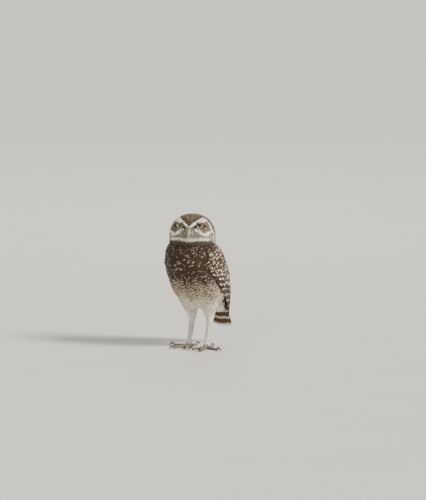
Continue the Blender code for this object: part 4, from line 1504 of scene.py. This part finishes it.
def make_tail():
    """Twelve tail feathers, the middle pair on top, and their bars."""
    rng = np.random.default_rng(77)
    root, along, outward, reach = tail_axes()
    order = np.array([5.5, 4.5, 3.5, 2.5, 1.5, 0.5]) / 5.5
    spread = np.concatenate((-order, order[::-1]))
    share = QUILL_VANE.stations[None]
    start = 0.14
    length = reach * (0.985 - start) - 4.2 * abs(spread) ** 2.2
    down = reach * start + length[:, None] * share
    sideways = spread[:, None] * (8.5 + 6.3 * share)
    lift = 4.2 * (1 - share) ** 1.3 + 0.9 - 0.9 * abs(spread)[:, None] - 3.0 * (sideways / 20.0) ** 2
    points = root + down[..., None] * along + sideways[..., None] * np.array((1.0, 0.0, 0.0))
    points = points + lift[..., None] * outward
    normals = np.broadcast_to(outward, points.shape) + (spread * 0.12)[:, None, None] * np.array((1.0, 0, 0))
    spines = Spines(points, normals)
    spines.tilt(np.sign(spread) * SHINGLE)
    look = plumage(points[:, -3], np.full(12, TAIL))
    look.tint(np.ones(12), ground=colour("brown") * 1.1, mark=colour("pale") * 0.95, form=(0.0, 1.0, 0.0), pale=0.30)
    chart = np.stack(((np.arange(12) + 0.5) / 12, np.full(12, 0.5)), -1)
    lay_vanes("tail_quills", QUILL_VANE, spines, np.full(12, 5.4), look, rng.random(12), length,
              lambda _: chart, counts=5.0, patch=(0.8 / 12, 0.94))


def make_bristles(surface):
    """Fine bristles that lie forwards over the root of the bill."""
    rng = np.random.default_rng(91)
    number = 170
    turn = rng.uniform(-0.15, 1.0, number) * math.pi * 0.62
    sides = rng.choice((-1.0, 1.0), number)
    out = rng.uniform(4.6, 6.6, number)
    side = sides * out * np.cos(turn * 0.8)
    up = 1.0 + 6.4 * np.sin(turn) - rng.uniform(0, 3.0, number)
    start, _ = surface.nearest(from_head(side, 25.0, up))
    length = rng.uniform(3.4, 6.4, number)
    share = HAIR_VANE.stations[None]
    root_side, root_ahead, root_up = head_frame(start)
    goal_side = root_side * rng.uniform(0.55, 1.05, number)
    points = from_head(
        root_side[:, None] + (goal_side - root_side)[:, None] * share,
        root_ahead[:, None] + length[:, None] * share * 0.85,
        root_up[:, None] - length[:, None] * share**1.6 * 0.75,
    )
    look = Look(number)
    look.tint(np.ones(number), ground=colour("white") * 0.85, form=(0.0, 0.0, 0.0))
    look.tint((rng.random(number) < 0.6) * 1.0, ground=colour("cheek") * 0.4)
    normals = unit(points - from_head(0.0, 12.0, 0.0))
    lay_vanes("bill_bristles", HAIR_VANE, Spines(points, normals), rng.uniform(0.10, 0.17, number), look,
              rng.random(number), length, crown_unwrap)


# Bare parts

def eye_coordinates(shape, loops_material):
    """Writes how far each vertex of an eye lies from its axis and how far round it."""
    values = []
    for vertex in shape.verts:
        out = math.hypot(vertex.co.x, vertex.co.z)
        values.append((out / loops_material, math.atan2(vertex.co.z, vertex.co.x) / (2 * math.pi), 0.0))
    return np.array(values)


BALL_RADIUS, IRIS_AHEAD, IRIS_RADIUS = 8.0, 5.85, 5.45


def make_eye(side, word):
    """A dark ball, a sunken iris with its pupil, and the clear cornea over them."""
    pupil = size("pupil")
    back = [(BALL_RADIUS * math.sin(a), BALL_RADIUS * math.cos(a)) for a in np.radians(np.linspace(172, 48, 14))]
    front = [(IRIS_RADIUS, IRIS_AHEAD), (IRIS_RADIUS - 0.35, IRIS_AHEAD - 0.25), (4.2, IRIS_AHEAD - 0.42),
             (pupil + 0.2, IRIS_AHEAD - 0.5), (pupil, IRIS_AHEAD - 0.6), (pupil * 0.96, IRIS_AHEAD - 1.4),
             (0.3, IRIS_AHEAD - 1.9)]
    turns = np.linspace(0, 2 * math.pi, 49)[:-1]
    rings = [[(r * math.cos(t), ahead, r * math.sin(t)) for t in turns] for r, ahead in back + front]
    shape, _ = lofted(rings)
    for face in shape.faces:
        middle = face.calc_center_median()
        out = math.hypot(middle.x, middle.z)
        on_iris = middle.y > IRIS_AHEAD - 0.62 and pupil < out < IRIS_RADIUS
        face.material_index = 1 if on_iris else 0
    fields = eye_coordinates(shape, IRIS_RADIUS)
    bmesh.ops.transform(shape, matrix=eye_matrix(side), verts=shape.verts)
    bmesh.ops.recalc_face_normals(shape, faces=shape.faces)
    mesh = mesh_of(shape, f"eyeball_{word}")
    write_attribute(mesh, "vane", "FLOAT_VECTOR", fields)
    finish_piece(f"eyeball_{word}", mesh, [shared(pupil_material), shared(iris_material)], [f"eye_{word}"])
    make_cornea(side, word)


def make_cornea(side, word):
    """A thin clear dome over the iris."""
    shape = bmesh.new()
    bmesh.ops.create_uvsphere(shape, u_segments=48, v_segments=32, radius=8.2)
    bmesh.ops.rotate(shape, matrix=Matrix.Rotation(math.radians(-90), 3, "X"), verts=shape.verts)
    everything = shape.verts[:] + shape.edges[:] + shape.faces[:]
    rim = 4.8
    bmesh.ops.bisect_plane(shape, geom=everything, plane_co=(0, rim, 0), plane_no=(0, 1, 0), clear_inner=True)
    for vertex in shape.verts:
        vertex.co.y = rim + (vertex.co.y - rim) * 1.06
    bmesh.ops.recalc_face_normals(shape, faces=shape.faces)
    bmesh.ops.solidify(shape, geom=shape.faces[:], thickness=0.12)
    bmesh.ops.transform(shape, matrix=eye_matrix(side), verts=shape.verts)
    bmesh.ops.recalc_face_normals(shape, faces=shape.faces)
    mesh = mesh_of(shape, f"cornea_{word}")
    finish_piece(f"cornea_{word}", mesh, [shared(cornea_material)])


# The bill as (ahead, up): its ridge, its cutting edge and its underside, with half widths
RIDGE = ((19.0, 8.2), (23.4, 8.3), (27.4, 7.6), (30.4, 5.6), (32.8, 2.6), (34.2, -1.2), (34.2, -4.6), (33.9, -6.8))
CUTTING = ((18.0, -1.8), (22.0, -2.2), (25.6, -2.0), (28.4, -2.3), (30.6, -2.7), (32.2, -3.6), (33.2, -5.4), (33.7, -7.0))
UPPER_HALF_WIDTHS = (5.2, 5.0, 4.6, 3.9, 3.0, 2.0, 1.1, 0.25)
LOWER_TOP = ((18.0, -2.4), (22.0, -2.7), (25.4, -2.6), (28.0, -2.9), (30.0, -3.6), (31.2, -4.6))
LOWER_KEEL = ((18.0, -6.6), (22.0, -6.9), (25.4, -6.9), (28.2, -6.5), (30.2, -5.8), (31.3, -5.0))
LOWER_HALF_WIDTHS = (3.8, 3.7, 3.4, 2.7, 1.7, 0.4)
BILL_RINGS, BILL_POINTS = 26, 28


def along_rows(rows, places):
    """Rows of numbers read smoothly at places from 0 to 1."""
    rows = np.array(rows, float).reshape(len(rows), -1)
    knots = np.linspace(0.0, 1.0, len(rows))
    slopes = np.gradient(rows, knots, axis=0)
    index = np.clip((places * (len(rows) - 1)).astype(int), 0, len(rows) - 2)
    gap = knots[1]
    t = ((places - knots[index]) / gap)[:, None]
    return ((2 * t**3 - 3 * t**2 + 1) * rows[index] + (t**3 - 2 * t**2 + t) * gap * slopes[index]
            + (3 * t**2 - 2 * t**3) * rows[index + 1] + (t**3 - t**2) * gap * slopes[index + 1])


def half_bill(name, top, bottom, half_widths, ridge_share, node):
    """One mandible, lofted between its upper and lower lines, with a keeled ridge."""
    places = np.linspace(0.0, 1.0, BILL_RINGS) ** 0.85
    upper, lower = along_rows(top, places), along_rows(bottom, places)
    widths = along_rows(half_widths, places)[:, 0]
    rings, fields = [], []
    for place, high, low, width in zip(places, upper, lower, widths):
        middle, reach = (high + low) / 2, (high - low) / 2
        ring = []
        for i in range(BILL_POINTS):
            turn = 2 * math.pi * i / BILL_POINTS
            c, s = math.cos(turn), math.sin(turn)
            keel = 1.0 - ridge_share * max(s, 0.0) ** 2
            cere = 1.0 + 0.07 * math.exp(-((place - 0.16) / 0.10) ** 2) * max(s, 0.0)
            nostril = math.exp(-((place - 0.25) / 0.05) ** 2 - ((abs(turn % math.pi - math.pi / 2) - 0.85) / 0.22) ** 2)
            dent = 1.0 - 0.22 * nostril * (s > 0)
            ahead, up = middle + reach * math.copysign(abs(s) ** 0.92, s) * cere
            out = width * math.copysign(abs(c) ** 0.9, c) * keel * cere * dent
            ring.append(placed(from_head(out, ahead, up)))
            fields.append((nostril * (s > 0), place, 0.0))
        rings.append(ring)
    shape, _ = lofted(rings)
    mesh = mesh_of(shape, name)
    write_attribute(mesh, "vane", "FLOAT_VECTOR", np.array(fields))
    horn, dark = colour("horn"), colour("dark")
    material = horn_material(f"{name}_horn", horn, horn * (0.55, 0.55, 0.62), horn * (1.2, 1.18, 1.05),
                             (0.18, 0.42), (0.7, 1.0))
    finish_piece(name, mesh, [material], [node])


def make_claws():
    """Smooth dark claws over the solids of the eight claws."""
    for _, word in SIDES:
        for toe in TOE_NAMES:
            node = f"claw_{word}_{toe}"
            shape = node_surface([node])
            mesh = mesh_of(shape, f"horn_{word}_{toe}")
            points = np.array([tuple(v.co) for v in mesh.vertices])
            foot = placed((FOOT_X if word == "left" else -FOOT_X, FOOT_Y, 0.0))
            reach = np.linalg.norm(points[:, :2] - foot[:2], axis=1)
            share = (reach - reach.min()) / np.ptp(reach)
            write_attribute(mesh, "vane", "FLOAT_VECTOR", np.stack((0 * share, share, 0 * share), -1))
            piece = finish_piece(f"horn_{word}_{toe}", mesh, [claw_horn()], [node])
            smooth = piece.modifiers.new("smooth", "SUBSURF")
            smooth.levels = smooth.render_levels = 2


def claw_horn():
    name = "claw_horn"
    if name not in bpy.data.materials:
        shade = colour("claw")
        horn_material(name, shade, shade * 2.4, shade * 0.8, (0.0, 0.3), (0.6, 1.0))
    return bpy.data.materials[name]


# Studio

def aim(target, azimuth, climb, distance):
    """A matrix at a distance from a target, looking at it."""
    back = Vector((math.sin(azimuth) * math.cos(climb), -math.cos(azimuth) * math.cos(climb), math.sin(climb)))
    turn = back.to_track_quat("Z", "Y")
    return Matrix.Translation(target + back * distance) @ turn.to_matrix().to_4x4()


def make_camera():
    """The camera stands where the photograph was taken from, and keeps its framing."""
    crown = Vector(placed((0.0, HEAD_AXIS_Y, CROWN_Z)))
    facing = aim(crown, CAMERA_AZIMUTH, CAMERA_HEIGHT_ANGLE, 0.0).to_3x3()
    right = (PHOTO_SIZE[0] / 2 - HEAD_MIDDLE_PX) * MM_PER_PX * MM
    down = (PHOTO_SIZE[1] / 2 - CROWN_PX) * MM_PER_PX * MM
    target = crown + facing.col[0] * right - facing.col[1] * down
    data = bpy.data.cameras.new("camera")
    camera = bpy.data.objects.new("camera", data)
    bpy.context.scene.collection.objects.link(camera)
    camera.matrix_world = aim(target, CAMERA_AZIMUTH, CAMERA_HEIGHT_ANGLE, CAMERA_DISTANCE)
    view_height = PHOTO_SIZE[1] * MM_PER_PX * MM
    data.sensor_width = 36.0
    data.lens = data.sensor_width * CAMERA_DISTANCE / view_height
    data.clip_end = 60.0
    bpy.context.scene.camera = camera


def add_light(name, kind, azimuth, climb, width, power, shade):
    """A lamp turned at the owl from an azimuth and a height in degrees; width is a radius or an angle."""
    data = bpy.data.lights.new(name, kind)
    data.energy = power
    data.color = shade
    if kind == "SUN":
        data.angle = math.radians(width)
    else:
        data.shape = "DISK"
        data.size = width
    light = bpy.data.objects.new(name, data)
    bpy.context.scene.collection.objects.link(light)
    middle = Vector((0.0, 0.0, 0.11))
    light.matrix_world = aim(middle, math.radians(azimuth), math.radians(climb), LIGHT_DISTANCE)


def make_floor():
    """A flat pale floor that reaches far behind."""
    shape = bmesh.new()
    bmesh.ops.create_grid(shape, x_segments=1, y_segments=1, size=40.0)
    mesh = mesh_of(shape, "floor")
    mesh.materials.append(shared(floor_material))
    floor = bpy.data.objects.new("floor", mesh)
    bpy.context.scene.collection.objects.link(floor)


# Operators

class Made:
    """What one step leaves for the next ones."""

    skin = None
    surface = None
    lids = ()


class OWL_OT_camera(bpy.types.Operator):
    """Place the camera at the photograph's viewing angle"""
    bl_idname = "owl.camera"
    bl_label = "Camera"

    def execute(self, context):
        make_camera()
        return {"FINISHED"}


class OWL_OT_stage(bpy.types.Operator):
    """Lay a pale floor and set soft studio lights"""
    bl_idname = "owl.stage"
    bl_label = "Floor and lights"

    def execute(self, context):
        make_floor()
        add_light("key", "SUN", 98.0, 37.0, 16.0, 4.4, (1.0, 0.95, 0.87))
        add_light("front", "AREA", 12.0, 34.0, 0.24, 3.2, (1.0, 0.98, 0.95))
        add_light("back", "AREA", 215.0, 40.0, 1.0, 7.0, (1.0, 0.98, 0.95))
        world = bpy.data.worlds.new("studio")
        world.use_nodes = True
        world.node_tree.nodes["Background"].inputs["Color"].default_value = (0.93, 0.925, 0.91, 1.0)
        world.node_tree.nodes["Background"].inputs["Strength"].default_value = 0.52
        context.scene.world = world
        return {"FINISHED"}


class OWL_OT_skin(bpy.types.Operator):
    """Make one skin in place of the flesh solids, with the eyelids"""
    bl_idname = "owl.skin"
    bl_label = "Skin"

    def execute(self, context):
        Made.skin = make_skin()
        Made.surface = skin_surface(Made.skin)
        Made.lids = dress_skin(Made.skin, Made.surface)
        return {"FINISHED"}


class OWL_OT_eyes(bpy.types.Operator):
    """Make both eyes: ball, iris, pupil and cornea"""
    bl_idname = "owl.eyes"
    bl_label = "Eyes"

    def execute(self, context):
        for side, word in SIDES:
            make_eye(side, word)
        return {"FINISHED"}


class OWL_OT_horn(bpy.types.Operator):
    """Make the bill and the claws"""
    bl_idname = "owl.horn"
    bl_label = "Bill and claws"

    def execute(self, context):
        half_bill("bill_top", RIDGE, CUTTING, UPPER_HALF_WIDTHS, 0.38, "bill_upper")
        half_bill("bill_bottom", LOWER_TOP, LOWER_KEEL, LOWER_HALF_WIDTHS, 0.0, "bill_lower")
        make_claws()
        return {"FINISHED"}


class OWL_OT_head_feathers(bpy.types.Operator):
    """Feather the crown, the face and the neck"""
    bl_idname = "owl.head_feathers"
    bl_label = "Head feathers"

    def execute(self, context):
        surface = Made.surface
        part = surface.facts["part"][surface.triangles[:, 0]]
        middles = surface.points[surface.triangles].mean(1)
        side, ahead, up = head_frame(middles)
        brow_up = np.interp(abs(side), [p[0] for p in BROW], [p[1] for p in BROW])
        on_head = (part == HEAD) & open_face(surface)
        azimuth = np.degrees(np.arctan2(abs(side), ahead))
        face = on_head & (azimuth < 76.0) & (up < brow_up + 2.5)
        crown = on_head & ~face
        long = size("crown_feather")

        def share(places):
            return 0.62 + 0.48 * step(24.0, -8.0, head_frame(places)[1])

        plant("crown_feathers", surface, crown, lambda p: 1.32 * share(p), lambda p: long * share(p), 0.42, CROWN_VANE, crown_unwrap,
              11, plain=0.4)
        long = size("face_feather")
        plant("face_feathers", surface, face, 0.66, long, 0.20, HAIR_VANE, crown_unwrap,
              12, sway=0.12)
        for number, (lid, outside) in enumerate(Made.lids):
            plant(f"lid_feathers_{SIDES[number][1]}", lid, outside, 0.55, 1.9, 0.24, HAIR_VANE,
                  crown_unwrap, 14 + number, sway=0.12)
        plant("neck_feathers", surface, part == NECK, 1.6, 8.6, 0.40, BODY_VANE, round_unwrap,
              13, plain=0.55)
        make_bristles(surface)
        return {"FINISHED"}


class OWL_OT_body_feathers(bpy.types.Operator):
    """Feather the breast, the belly and the back"""
    bl_idname = "owl.body_feathers"
    bl_label = "Body feathers"

    def execute(self, context):
        surface = Made.surface
        part = surface.facts["part"][surface.triangles[:, 0]]
        middles = surface.points[surface.triangles].mean(1)
        azimuth = body_azimuth(middles)
        long = size("body_feather")
        trunk = part == TRUNK
        front = trunk & (abs(azimuth) < 95.0)
        breast = front & (middles[:, 2] > 104.0)
        plant("breast_feathers", surface, breast, 1.65, long * 0.86, 0.40, BODY_VANE, round_unwrap,
              21, sway=0.1, plain=0.78, loose=0)
        plant("belly_feathers", surface, front & ~breast, 1.75, long * 0.9, 0.40, BODY_VANE, round_unwrap,
              22, sway=0.12, plain=0.05, loose=0)
        plant("back_feathers", surface, trunk & ~front, 2.0, long, 0.46, BODY_VANE, round_unwrap,
              23)
        return {"FINISHED"}


class OWL_OT_wing_feathers(bpy.types.Operator):
    """Feather the folded wings with coverts and quills"""
    bl_idname = "owl.wing_feathers"
    bl_label = "Wing feathers"

    def execute(self, context):
        surface = Made.surface
        part = surface.facts["part"][surface.triangles[:, 0]]
        middles = surface.points[surface.triangles].mean(1)
        radial = middles - np.stack((0 * middles[:, 0], middles[:, 1] * 0.3, middles[:, 2]), -1)
        facing = dot(unit(surface.facing), unit(radial))[:, 0]
        shoulder = (part == WING) & (facing > -0.1) & (middles[:, 2] > SHOULDER_FOOT)
        for number, (side, word) in enumerate(SIDES):
            plant(f"shoulder_coverts_{word}", surface, shoulder & (middles[:, 0] * side > 0), 3.0, 12.0,
                  0.62, COVERT_VANE, round_unwrap, 51 + number, plain=0.12)
            blade = make_coverts(side, word)
            make_quills(side, word, blade)
        return {"FINISHED"}


class OWL_OT_tail_feathers(bpy.types.Operator):
    """Feather the tail with quills and coverts"""
    bl_idname = "owl.tail_feathers"
    bl_label = "Tail feathers"

    def execute(self, context):
        make_tail()
        surface = Made.surface
        part = surface.facts["part"][surface.triangles[:, 0]]
        middles = surface.points[surface.triangles].mean(1)
        _, along, out = tail_coordinates(middles)
        rooted = (part == TAIL) & (along < np.where(out > 0, 20.0, 34.0))
        plant("tail_coverts", surface, rooted, 1.9, 10.5, 0.36, BODY_VANE, round_unwrap,
              31)
        return {"FINISHED"}


class OWL_OT_leg_feathers(bpy.types.Operator):
    """Feather the thighs and the shanks, with a few bristles on the toes"""
    bl_idname = "owl.leg_feathers"
    bl_label = "Leg feathers"

    def execute(self, context):
        surface = Made.surface
        part = surface.facts["part"][surface.triangles[:, 0]]
        plant("thigh_feathers", surface, part == THIGH, lambda p: 1.15 + 0.6 * step(38.0, 66.0, p[:, 2]),
              lambda p: 4.8 + 4.0 * step(38.0, 66.0, p[:, 2]), 0.32, CROWN_VANE, leg_unwrap,
              41)
        plant("shank_feathers", surface, part == SHANK, 0.82, 4.2, 0.17, HAIR_VANE, leg_unwrap,
              42, sway=0.22)
        on_top = (part == TOE) & (unit(surface.facing)[:, 2] > 0.2)
        plant("toe_bristles", surface, on_top, 2.9, 2.9, 0.05, HAIR_VANE, leg_unwrap, 43,
              top=6.0, sway=0.3)
        return {"FINISHED"}


class OWL_PT_panel(bpy.types.Panel):
    """The steps that dress the owl"""
    bl_label = "Burrowing Owl"
    bl_idname = "OWL_PT_panel"
    bl_space_type = "VIEW_3D"
    bl_region_type = "UI"
    bl_category = "Owl"

    def draw(self, context):
        for operator in STEPS:
            self.layout.operator(operator.bl_idname)
        for group in (context.scene.owl_sizes, context.scene.owl_colours):
            box = self.layout.box()
            for name in group.__annotations__:
                box.prop(group, name)


STEPS = (
    OWL_OT_camera,
    OWL_OT_stage,
    OWL_OT_skin,
    OWL_OT_eyes,
    OWL_OT_horn,
    OWL_OT_head_feathers,
    OWL_OT_body_feathers,
    OWL_OT_wing_feathers,
    OWL_OT_tail_feathers,
    OWL_OT_leg_feathers,
)
CLASSES = (OwlSizes, OwlColours, *STEPS, OWL_PT_panel)


def register():
    for entry in CLASSES:
        bpy.utils.register_class(entry)
    bpy.types.Scene.owl_sizes = bpy.props.PointerProperty(type=OwlSizes)
    bpy.types.Scene.owl_colours = bpy.props.PointerProperty(type=OwlColours)


def unregister():
    del bpy.types.Scene.owl_colours
    del bpy.types.Scene.owl_sizes
    for entry in reversed(CLASSES):
        bpy.utils.unregister_class(entry)


def main():
    register()
    for operator in STEPS:
        family, name = operator.bl_idname.split(".")
        getattr(getattr(bpy.ops, family), name)()


if __name__ == "__main__":
    main()
